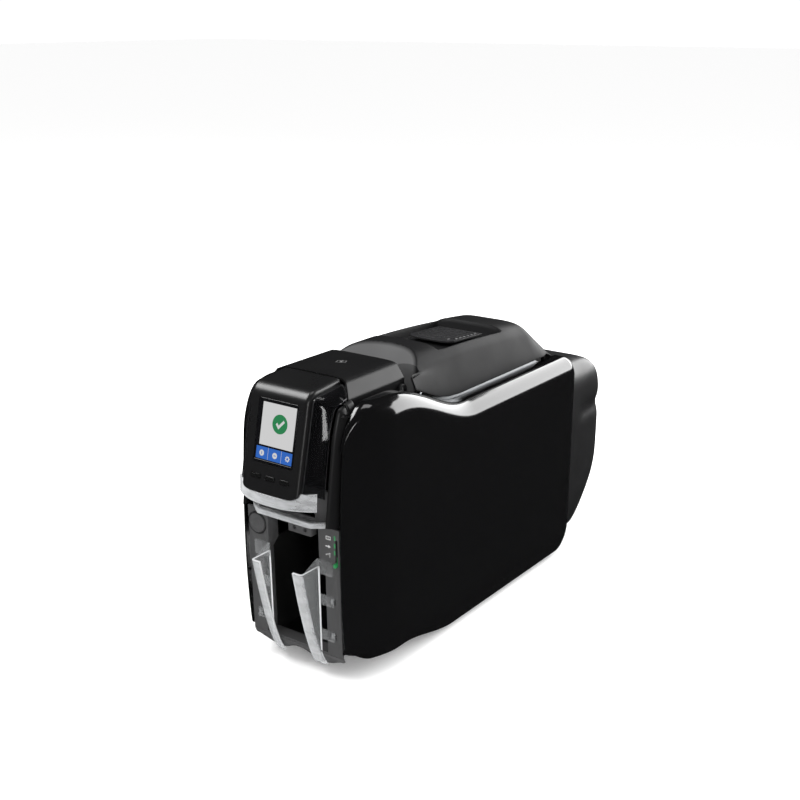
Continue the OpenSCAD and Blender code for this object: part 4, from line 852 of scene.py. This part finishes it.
def makeRibbonCover():
    look = coverLook
    cover = formedShell("ribbonCover", 201, 151, coverPoint, look["wall"], 0.6)
    half, y0, y1 = look["stem"]
    cutAway(cover, boxAt("stemCutter", (-half, y0, 240), (half, y1, 290), 0.8))
    y, z = look["pin"]
    radius = look["ear"] / 2
    foot = arc(y, z, radius, 180, 360, 13)
    rise = [(edge, coverShoulder(edge) - 1.5) for edge in (y + radius, y - radius)]
    ears = sidePlates(foot + rise, look["earX"], (y, z), look["bore"])
    y, z = look["latchPin"]
    top = coverCrown(y) - look["wellDepth"] - 1
    lug = [(y - 5, z - 4), (y + 5, z - 4), (y + 5, top), (y - 5, top)]
    lugs = sidePlates(lug, look["lugX"], (y, z), look["bore"])
    joinInto(cover, ears + lugs)
    finishPiece(cover, "cover", "coverPlastic", ["ribbon_cover"])


makeRibbonCover()
print("ribbon cover made")

# rear unit's cover

unitLook = {
    "front": 403, "rear": 501, "half": 63, "top": 211, "skirt": 2, "wall": 2.4, "square": 6.67,
    "grip": (3.2, 150, 9),  # depth, height and spread of the waisted grip
    "bay": (-48, 12, 29, 60), "bayFrom": 442, "bayDepth": 100,
}


def unitPoint(r, c):
    look = unitLook
    u = math.sin(math.pi / 2 * r)
    v = clamp01((u - 0.4) / 0.6)
    top = look["top"] - 4 * u - 48 * quarter(u ** 6)
    low = look["skirt"] + 64 * v ** 1.35 + 36 * quarter(v ** 6)
    half = look["half"] - 3 * u - 9 * quarter(u ** 5)
    a = 2 * math.pi * c - math.pi / 2
    n = look["square"]
    far = (abs(math.cos(a)) ** n + abs(math.sin(a)) ** n) ** (-1 / n)
    x = half * far * math.cos(a)
    z = (top + low) / 2 + (top - low) / 2 * far * math.sin(a)
    deep, level, spread = look["grip"]
    grip = deep * math.exp(-(((z - level) / spread) ** 2)) * smooth((u - 0.3) / 0.3)
    return x - math.copysign(min(grip, abs(x)), x), mixed(look["front"], look["rear"], u), z


def makeUnitCover():
    look = unitLook
    unit = formedGrid("unitCover", 70, 161, unitPoint)
    activate(unit)
    bpy.ops.object.mode_set(mode="EDIT")
    bpy.ops.mesh.select_all(action="SELECT")
    bpy.ops.mesh.remove_doubles(threshold=0.00002)
    bpy.ops.mesh.select_all(action="DESELECT")
    bm = bmesh.from_edit_mesh(unit.data)
    rear = max(v.co.y for v in bm.verts)
    for edge in bm.edges:
        edge.select = edge.is_boundary and all(abs(v.co.y - rear) < 1e-6 for v in edge.verts)
    bmesh.update_edit_mesh(unit.data)
    bpy.ops.mesh.edge_face_add()
    bpy.ops.mesh.select_all(action="SELECT")
    bpy.ops.mesh.normals_make_consistent(inside=False)
    bpy.ops.object.mode_set(mode="OBJECT")
    addWall(unit, look["wall"])
    x0, x1, z0, z1 = look["bay"]
    y0, y1 = look["bayFrom"], look["bayFrom"] + look["bayDepth"]
    cutAway(unit, boxAt("bayCutter", (x0, y0, z0), (x1, y1, z1), 1.5))
    finishPiece(unit, "chassis", "unitGrey", ["unit_cover"])


makeUnitCover()
print("rear unit made")

# hopper door: display housing, smoky window and lid

doorLook = {
    "tilt": 13.5, "foot": 187, "bend": 14.5, "bendEnd": 85, "seam": (42, 283.5),
    "topLength": 31.5,
    "half": 33, "edge": 4, "side": 9, "corner": 12, "wall": 2.2, "nose": 24,
    "windowHalf": 48.5, "windowGap": 1, "lipLow": 177, "lidHalf": 48, "lidRear": 116,
    "pinAt": (110, 259), "boss": 11, "bore": 5.1, "stripX": 54.2,
    "glass": (46, 57, 1.6), "glassX": 1,
    "keyAt": 14.4, "keyPitch": 16.5, "keySize": (10.5, 4), "fit": 0.3, "postX": 26.5, "post": 5,
    "boardDepth": 7.5,
}


def doorSizes(look=doorLook):
    tilt, end = math.radians(look["tilt"]), math.radians(look["bendEnd"])
    (seamY, seamZ), top, radius = look["seam"], look["topLength"], look["bend"]
    y = seamY - top * math.sin(end) + radius * (math.cos(end) - math.cos(tilt))
    z = seamZ - top * math.cos(end) - radius * (math.sin(end) - math.sin(tilt))
    face = (z - look["foot"]) / math.cos(tilt)
    bend = radius * (end - tilt)
    return y, z, face, bend, face + bend + top


bendY, bendZ, faceLength, bendLength, doorLength = doorSizes()


def doorPath(s, look=doorLook):  # y, z and slope of the door's outer face
    tilt, end = math.radians(look["tilt"]), math.radians(look["bendEnd"])
    if s < faceLength:
        back = faceLength - s
        return bendY - back * math.sin(tilt), bendZ - back * math.cos(tilt), math.pi / 2 - tilt
    if s < faceLength + bendLength:
        a = tilt + (s - faceLength) / look["bend"]
        return (
            bendY + look["bend"] * (math.cos(tilt) - math.cos(a)),
            bendZ + look["bend"] * (math.sin(a) - math.sin(tilt)),
            math.pi / 2 - a,
        )
    rest = doorLength - s
    y, z = look["seam"]
    return y - rest * math.sin(end), z - rest * math.cos(end), math.pi / 2 - end


def underFace(x, s, depth):
    y, z, slope = doorPath(s)
    return x, y + depth * math.sin(slope), z - depth * math.cos(slope)


def footLift(x, look=doorLook):
    return 8 * quarter((abs(x) - look["half"] + look["corner"]) / look["corner"])


def bezelPoint(r, c):
    look = doorLook
    side = 1 if c < 0.5 else -1
    w = min(c, 1 - c) * 2
    if w < 0.12:
        x, depth = look["half"], mixed(look["side"], look["edge"], w / 0.12)
    elif w < 0.34:
        a = math.pi / 2 * (w - 0.12) / 0.22
        x = look["half"] - look["edge"] * (1 - math.cos(a))
        depth = look["edge"] * (1 - math.sin(a))
    else:
        x, depth = mixed(look["half"] - look["edge"], 0, (w - 0.34) / 0.66), 0
    return underFace(side * x, mixed(footLift(x), doorLength, r), depth)


def windowRear(r, look=doorLook):
    y, z, _ = doorPath(r * doorLength)
    return (
        look["windowHalf"],
        y + 16 + 4 * max(0, 1 - r / 0.4) - 26 * smooth((r - 0.72) / 0.28),
        z - 12.5 * smooth((r - 0.4) / 0.4),
    )


def stripPoint(r, c):  # the strip that runs down behind the window
    look = doorLook
    f = mixed(-0.2, 1.03, r)
    rear = windowRear(f)
    slope = doorPath(f * doorLength)[2]
    u = 1 - c
    d = 2.8 + (9 + 8 * max(0, 0.33 - f)) * u
    x = mixed(look["windowHalf"] + 0.4, look["stripX"], math.sqrt(u))
    return x, rear[1] + d * math.sin(slope), rear[2] - d * math.cos(slope)


def windowSidePoint(r, c):
    look = doorLook
    rear = windowRear(r)
    front = underFace(look["half"] + look["windowGap"], max(r * doorLength, 8), look["edge"] + 0.5)
    u = 1 - c
    bend = u ** 1.6
    return tuple(mixed(a, b, share) for a, b, share in zip(front, rear, (u, bend, bend)))


def windowLipPoint(r, c):
    look = doorLook
    x = mixed(look["windowHalf"] - 3, 3 - look["windowHalf"], c)
    edge = look["foot"] - 0.5 + 0.85 * footLift(min(abs(x), look["half"]))
    back = (look["nose"] - 8) * (abs(x) / look["windowHalf"]) ** 2.4
    return x, -look["nose"] + back + 1.2 * r, mixed(look["lipLow"], edge, r)


def lidFront(x, look=doorLook):
    reach = look["windowHalf"] - look["half"] - look["windowGap"]
    out = abs(x) - look["half"] - look["windowGap"]
    return look["seam"][0] + 2.1 - 10.4 * clamp01(out / reach) ** 1.6


lidSection = [  # x, and height from the lid's top
    (48, -24.5), (48, -20), (48, -14.5), (47.2, -13), (40, -2.2), (36, -0.7), (31, 0), (16.5, 0.6),
    (0, 0.6),
]


def lidSectionAt(w):  # along the section's own length
    lengths = [0]
    for a, b in zip(lidSection, lidSection[1:]):
        lengths.append(lengths[-1] + math.dist(a, b))
    want = w * lengths[-1]
    for k in range(len(lengths) - 1):
        if want <= lengths[k + 1] or k == len(lengths) - 2:
            u = (want - lengths[k]) / (lengths[k + 1] - lengths[k])
            (x0, z0), (x1, z1) = lidSection[k:k + 2]
            return mixed(x0, x1, u), mixed(z0, z1, u)


def lidPoint(r, c):
    look = doorLook
    side = 1 if c < 0.5 else -1
    x, drop = lidSectionAt(min(c, 1 - c) * 2)
    top = look["seam"][1]
    if r < 0.86:
        along, extra, fall = r / 0.86, 0, 0
    elif r < 0.93:
        a = math.pi / 2 * (r - 0.86) / 0.07
        along, extra, fall = 1, -2.2 + 2.2 * math.sin(a), 2.2 - 2.2 * math.cos(a)
    else:
        along, extra, fall = 1, 0.7 * (r - 0.93) / 0.07, 2.2 + 15.8 * (r - 0.93) / 0.07
    rear = look["lidRear"] - (2.2 if r < 0.86 else 0)
    return side * x, mixed(lidFront(x), rear, along) + extra, min(top + drop, top + 0.6 - fall)


def onFace(obj, x, s, lift):  # a plate drawn in XY is laid on the door's face
    slope = doorPath(s)[2]
    up = (0, math.cos(slope), math.sin(slope))
    return standAt(obj, at(*underFace(x, s, -lift)), (1, 0, 0), up)


def makeDisplayHousing(look):
    housing = formedShell("displayHousing", 110, 81, bezelPoint, look["wall"], 0.35)
    width, height, thick = look["glass"]
    gap = 2 * look["fit"]
    middle = faceLength - 1 - height / 2
    seat = outlinePlate("seatCutter", roundedOutline(width + gap, height + gap, 2.5), 8)
    cutAway(housing, onFace(seat, look["glassX"], middle, -thick))
    view = outlinePlate("viewCutter", roundedOutline(width - 4, height - 5, 1), 12)
    cutAway(housing, onFace(view, look["glassX"], middle, -6))
    for k in (-1, 0, 1):
        wide, high = look["keySize"]
        key = outlinePlate("keyCutter", roundedOutline(wide + gap, high + gap, 1.2), 12)
        cutAway(housing, onFace(key, k * look["keyPitch"], look["keyAt"], -6))
    posts = []
    for x in (-look["postX"], look["postX"]):
        for s in (12, faceLength - 12):
            ends = underFace(x, s, 1), underFace(x, s, look["boardDepth"])
            posts.append(rodAt("post", *ends, look["post"]))
    joinInto(housing, posts)
    finishPiece(housing, "door", "satinBlack", ["door_bezel"])


def makeHopperLid(look):
    lid = formedShell("hopperLid", 90, 91, lidPoint, look["wall"], 0.35)
    y, z = look["pinAt"]
    ring = arc(y, z, look["boss"] / 2, 0, 348.75, 32)
    bosses = sidePlates(ring, (look["lidHalf"] - 4, look["lidHalf"]), (y, z), look["bore"])
    strip = formedShell("strip", 110, 9, stripPoint, look["wall"], 0.35)
    joinInto(lid, bosses + [strip, mirroredCopy(strip, "stripLeft")])
    finishPiece(lid, "door", "lidBlack", ["door_lid"])


def makeWindow(look):
    right = formedGrid("windowRight", 120, 24, windowSidePoint)
    # slot 1 paints a highlight on the window's rims
    setFinishes(right, "smokyClear", "smokyRim")
    addWall(right, look["wall"], rimSlot=1)
    addBevel(right, 0.35)
    left = mirroredCopy(right, "windowLeft")
    lip = formedGrid("windowLip", 9, 61, windowLipPoint)
    # slot 1 paints a highlight on the lip's rims
    setFinishes(lip, "clearLip", "clearRim")
    addWall(lip, look["wall"], rimSlot=1)
    addBevel(lip, 0.35)
    for piece in (right, left, lip):
        finishPiece(piece, "door", None, ["door_window"])


def makeDoor():
    makeDisplayHousing(doorLook)
    makeHopperLid(doorLook)
    makeWindow(doorLook)


makeDoor()
print("door made")

# the display's picture, the painted highlight under its glass, and the small printed marks

displayLook = {  # x and s along the door's face, in mm
    "lift": 0.22, "thick": 0.05, "screen": (2.75, 62, 38.5, 38), "strip": (1.75, 35.85, 41.5, 10.9),
    "dividers": (-5.2, 10.2), "disc": (4.7, 64), "discSize": 8.6, "icons": (-12.4, 2.8, 17.4),
    # line: a painted highlight standing in for the lit lower edge of the display glass
    "iconSize": 2.7, "line": (1, 29.3, 43, 0.35),
    "tick": ((-4.6, -0.6), (-3.1, 1), (-1.2, -1.2), (3.8, 4), (5.4, 2.4), (-1.2, -4.6)),
}


def circleOutline(radius, count=40, teeth=0, depth=0):
    points = []
    for k in range(count):
        a = 2 * math.pi * k / count
        r = radius - (depth if teeth and math.sin(teeth * a) < 0 else 0)
        points.append((r * math.cos(a), r * math.sin(a)))
    return points


def joinedPlates(name, shapes, body, finishName):  # plates already in place become one piece
    first = shapes[0]
    joinInto(first, shapes[1:])
    first.name = name
    return finishPiece(first, body, finishName)


def makeDisplayPicture():
    look = displayLook
    lift, thick = look["lift"], look["thick"]

    def shape(points, x, s, level):
        plate = outlinePlate("shape", points, thick)
        return onFace(plate, x, s, lift + level * thick)

    x, s, width, height = look["screen"]
    joinedPlates("screenPicture", [shape(roundedOutline(width, height, 0.3, 3), x, s, 0)],
            "door", "screenLight")
    x, s, width, height = look["strip"]
    strip = shape(roundedOutline(width, height, 0.3, 3), x, s, 0)
    marks = []
    for iconAt, teeth in zip(look["icons"], (0, 0, 8)):
        marks.append(shape(circleOutline(look["iconSize"], 48, teeth, 0.7), iconAt, s - 0.2, 1))
    glyphs = [
        shape(roundedOutline(0.7, 2.6, 0.3, 3), look["icons"][0], s - 0.2, 2),
        shape(roundedOutline(2.6, 0.7, 0.3, 3), look["icons"][1], s - 0.2, 2),
        shape(circleOutline(1.1), look["icons"][2], s - 0.2, 2),
    ]
    joinedPlates("screenStrip", [strip] + glyphs, "door", "screenBlue")
    x, s = look["disc"]
    joinedPlates("screenDisc", [shape(circleOutline(look["discSize"], 64), x, s, 1)],
            "door", "screenGreen")
    marks.append(shape(look["tick"], x, s, 2))
    _, stripAt, _, stripHigh = look["strip"]
    for divider in look["dividers"]:
        marks.append(shape(roundedOutline(0.25, stripHigh, 0.1, 3), divider, stripAt, 1))
    joinedPlates("screenMarks", marks, "door", "screenLight")
    # painted highlight: a thin grey line under the display glass stands in for its lit lower edge
    x, s, width, height = look["line"]
    joinedPlates("glassEdgeHighlight", [shape(roundedOutline(width, height, 0.1, 3), x, s, 0)],
            "door", "printAndHighlightGrey")


markLook = {  # x and z on the front frame, y 8
    "front": (7.98, 0.08), "card": (42.2, 145.4), "arrow": (41.8, 137), "light": (41.5, 129.4),
    "green": ((49.7, 146.8), (49.4, 139.2), (49.2, 132.2)), "ring": (-43.65, 139, 11.2, 0.8),
    "lid": (0.5, 84, 284.1, 4.6, 3.2),
    "arrowShape": (
        (-3, -0.5), (0.4, -0.5), (0.4, -1.6), (3, 0), (0.4, 1.6), (0.4, 0.5), (-3, 0.5),
    ),
}


def ringOutline(radius, width, count=48):  # an almost closed band
    return arc(0, 0, radius, 2, 358, count) + arc(0, 0, radius - width, 358, 2, count)


def frameOutline(width, height, line):  # an almost closed rectangular band
    w, h, gap = width / 2, height / 2, 0.02
    outer = [(w, gap), (w, h), (-w, h), (-w, -h), (w, -h), (w, -gap)]
    w, h = w - line, h - line
    return outer + [(w, -gap), (w, -h), (-w, -h), (-w, h), (w, h), (w, gap)]


def makeMarks():
    look = markLook
    front, thick = look["front"]

    def onFront(points, x, z):
        plate = outlinePlate("mark", points, thick)
        return standAt(plate, at(x, front, z), (1, 0, 0), (0, 0, 1))

    x, z = look["card"]
    card = frameOutline(5.4, 3.4, 0.6), roundedOutline(0.5, 1.6, 0.2, 3)
    white = [onFront(points, x, z) for points in card]
    white.append(onFront(look["arrowShape"], *look["arrow"]))
    x, z = look["light"]
    for k in range(3):
        white.append(onFront(circleOutline(0.6, 20), x - 2 + 2 * k, z + 0.8 * (k - 1)))
    white.append(onFront(roundedOutline(0.5, 3, 0.2, 3), x + 2, z - 1.6))
    joinedPlates("frameMarks", white, "chassis", "printedWhite")
    green = [onFront(roundedOutline(1.6, 4.4, 0.4, 4), x, z) for x, z in look["green"]]
    joinedPlates("frameGreenMarks", green, "chassis", "leverGreen")
    x, z, radius, width = look["ring"]
    joinedPlates("buttonRing", [onFront(ringOutline(radius, width), x, z)],
            "chassis", "satinBlack")
    x, y, z, width, height = look["lid"]
    across, up = (0.94, 0.34, 0), (-0.34, 0.94, 0)
    shapes = [
        frameOutline(2 * width, 2 * height, 0.55),
        ((-1, -3), (1, -3), (1, 1.2), (2.4, 1.2), (0, 4.6), (-2.4, 1.2), (-1, 1.2)),
    ]
    lid = []
    for points in shapes:
        lid.append(standAt(outlinePlate("mark", points, 0.06), at(x, y, z), across, up))
    joinedPlates("lidMark", lid, "door", "printAndHighlightGrey")


makeDisplayPicture()
makeMarks()
print("display picture and marks made")

# clear guides that hold the printed cards

guideLook = {
    "low": 9, "top": 114, "foot": 13.5, "reach": 31, "round": 4, "outer": 30.8, "inner": 28.8,
    "front": 11, "wall": 2, "frame": 8, "flangeTo": 46.6, "snaps": (46, 82),
    "turned": 0.96,  # faces that look less than this to the side belong to the front, which gets the lighter painted-light copy of the clear plastic
}


def guideFront(z, look=guideLook):
    high = (z - look["low"]) / (look["top"] - look["low"])
    return look["foot"] - look["reach"] * clamp01(high) ** 0.6


def guidePoint(r, c):
    look = guideLook
    z = mixed(look["low"], look["top"], r ** 1.25)
    f, radius = guideFront(z), look["round"]
    if c < 0.35:
        return look["outer"], mixed(max(look["frame"], f + radius + 0.3), f + radius, c / 0.35), z
    if c < 0.7:
        a = math.pi / 2 * (c - 0.35) / 0.35
        return look["outer"] - radius + radius * math.cos(a), f + radius - radius * math.sin(a), z
    return mixed(look["outer"] - radius, look["outer"] - look["front"], (c - 0.7) / 0.3), f, z


def makeGuides():
    look = guideLook
    guide = formedGrid("binGuideRight", 60, 25, guidePoint)
    # slot 1 paints a highlight on the rims; slot 2 is the painted-light copy for the front faces
    setFinishes(guide, "clear", "clearRim", "clearFront")
    addWall(guide, look["wall"], rimSlot=1)
    # painted light: faces turned to the front get the lighter copy
    for face in guide.data.polygons:
        if face.material_index == 0 and abs(face.normal.x) < look["turned"]:
            face.material_index = 2
    addBevel(guide, 0.3)
    applyModifiers(guide)
    y, top, inner, outer = look["frame"], look["top"], look["inner"], look["outer"]
    slope = [(guideFront(top) + 4, top - 1), (y, top - 1), (y, top + 8), (y - 3, top + 8)]
    shoulder = outlinePlate("shoulder", slope, outer - inner)
    standAt(shoulder, at(inner, 0, 0), (0, 1, 0), (0, 0, 1))
    addBevel(shoulder, 0.3)
    applyModifiers(shoulder)
    far = look["flangeTo"]
    parts = [shoulder, boxAt("flange", (inner, y - 2, top - 6), (far, y, top + 8), 0.3)]
    for z in look["snaps"]:
        parts.append(boxAt("arm", (outer - 0.5, y - 2, z - 5), (far, y, z + 5), 0.3))
        parts.append(boxAt("hook", (far - 3, y - 1, z - 2.5), (far, y + 2.5, z + 2.5), 0.3))
    for part in parts:
        setFinishes(part, "clear")
    joinInto(guide, parts)
    left = mirroredCopy(guide, "binGuideLeft")
    finishPiece(guide, "chassis", None, ["bin_guide_right"])
    finishPiece(left, "chassis", None, ["bin_guide_left"])


makeGuides()
print("bin guides made")

# CAD shapes that stay, with their moulded edges rounded

edgeLook = {  # radius of the rounded edges, in mm
    "front_frame": 0.5, "feed_lip": 0.5,
    "bin_floor": 0.5, "release_pad": 0.12, "power_button": 0.5, "thickness_lever": 0.3,
    "key_left": 0.4, "key_middle": 0.4, "key_right": 0.4, "display_glass": 0.3,
    "hopper_cradle": 0.4, "ribbon_cartridge": 0.4, "cover_latch": 0.3, "head_bracket": 0.3,
    "print_head": 0.4, "rear_panel": 0.4, "base_tray": 0.6, "power_inlet": 0.3,
    "usb_socket": 0.15, "network_socket": 0.2, "rubber_feet": 0.6, "panel_screws": 0.2,
    "frame_plate_right": 0.3, "frame_plate_left": 0.3, "transport_motor": 0.4,
    "ribbon_motor": 0.4, "fan_housing": 0.3, "fan_rotor": 0.15, "tie_rods": 0.3,
    "hinge_pins": 0.3, "unit_frame": 0.3, "flipper_cradle": 0.3, "flipper_roller": 0.3,
    "feed_roller": 0.3, "entry_roller": 0.3, "platen_roller": 0.3, "exit_roller": 0.3,
    "tail_roller": 0.3, "entry_pinch": 0.3, "exit_pinch": 0.3, "tail_pinch": 0.3,
    "cleaning_roller": 0.3, "supply_spool": 0.3, "take_up_spool": 0.3, "motor_pulley": 0.2,
}
bodyOf = {
    node: body for body, nodes in frame["record"]["behaviour"]["bodies"].items() for node in nodes
}


def pieceName(node):
    first, *rest = node.split("_")
    return first + "".join(word.capitalize() for word in rest)


def roundEdges(node, width):
    source = frame["nodes"][node]
    piece = source.copy()
    piece.data = source.data.copy()
    piece.name = pieceName(node)
    piece.parent = None
    bpy.context.scene.collection.objects.link(piece)
    activate(piece)
    bpy.ops.object.mode_set(mode="EDIT")
    bpy.ops.mesh.select_all(action="SELECT")
    bpy.ops.mesh.remove_doubles(threshold=0.00001)
    bpy.ops.mesh.dissolve_limited(angle_limit=math.radians(1))
    bpy.ops.object.mode_set(mode="OBJECT")
    addBevel(piece, width, 2, 38)
    finishPiece(piece, bodyOf[node], nodeFinish[node], [node])


for node, width in edgeLook.items():
    roundEdges(node, width)
print("edges rounded on", len(edgeLook), "pieces")
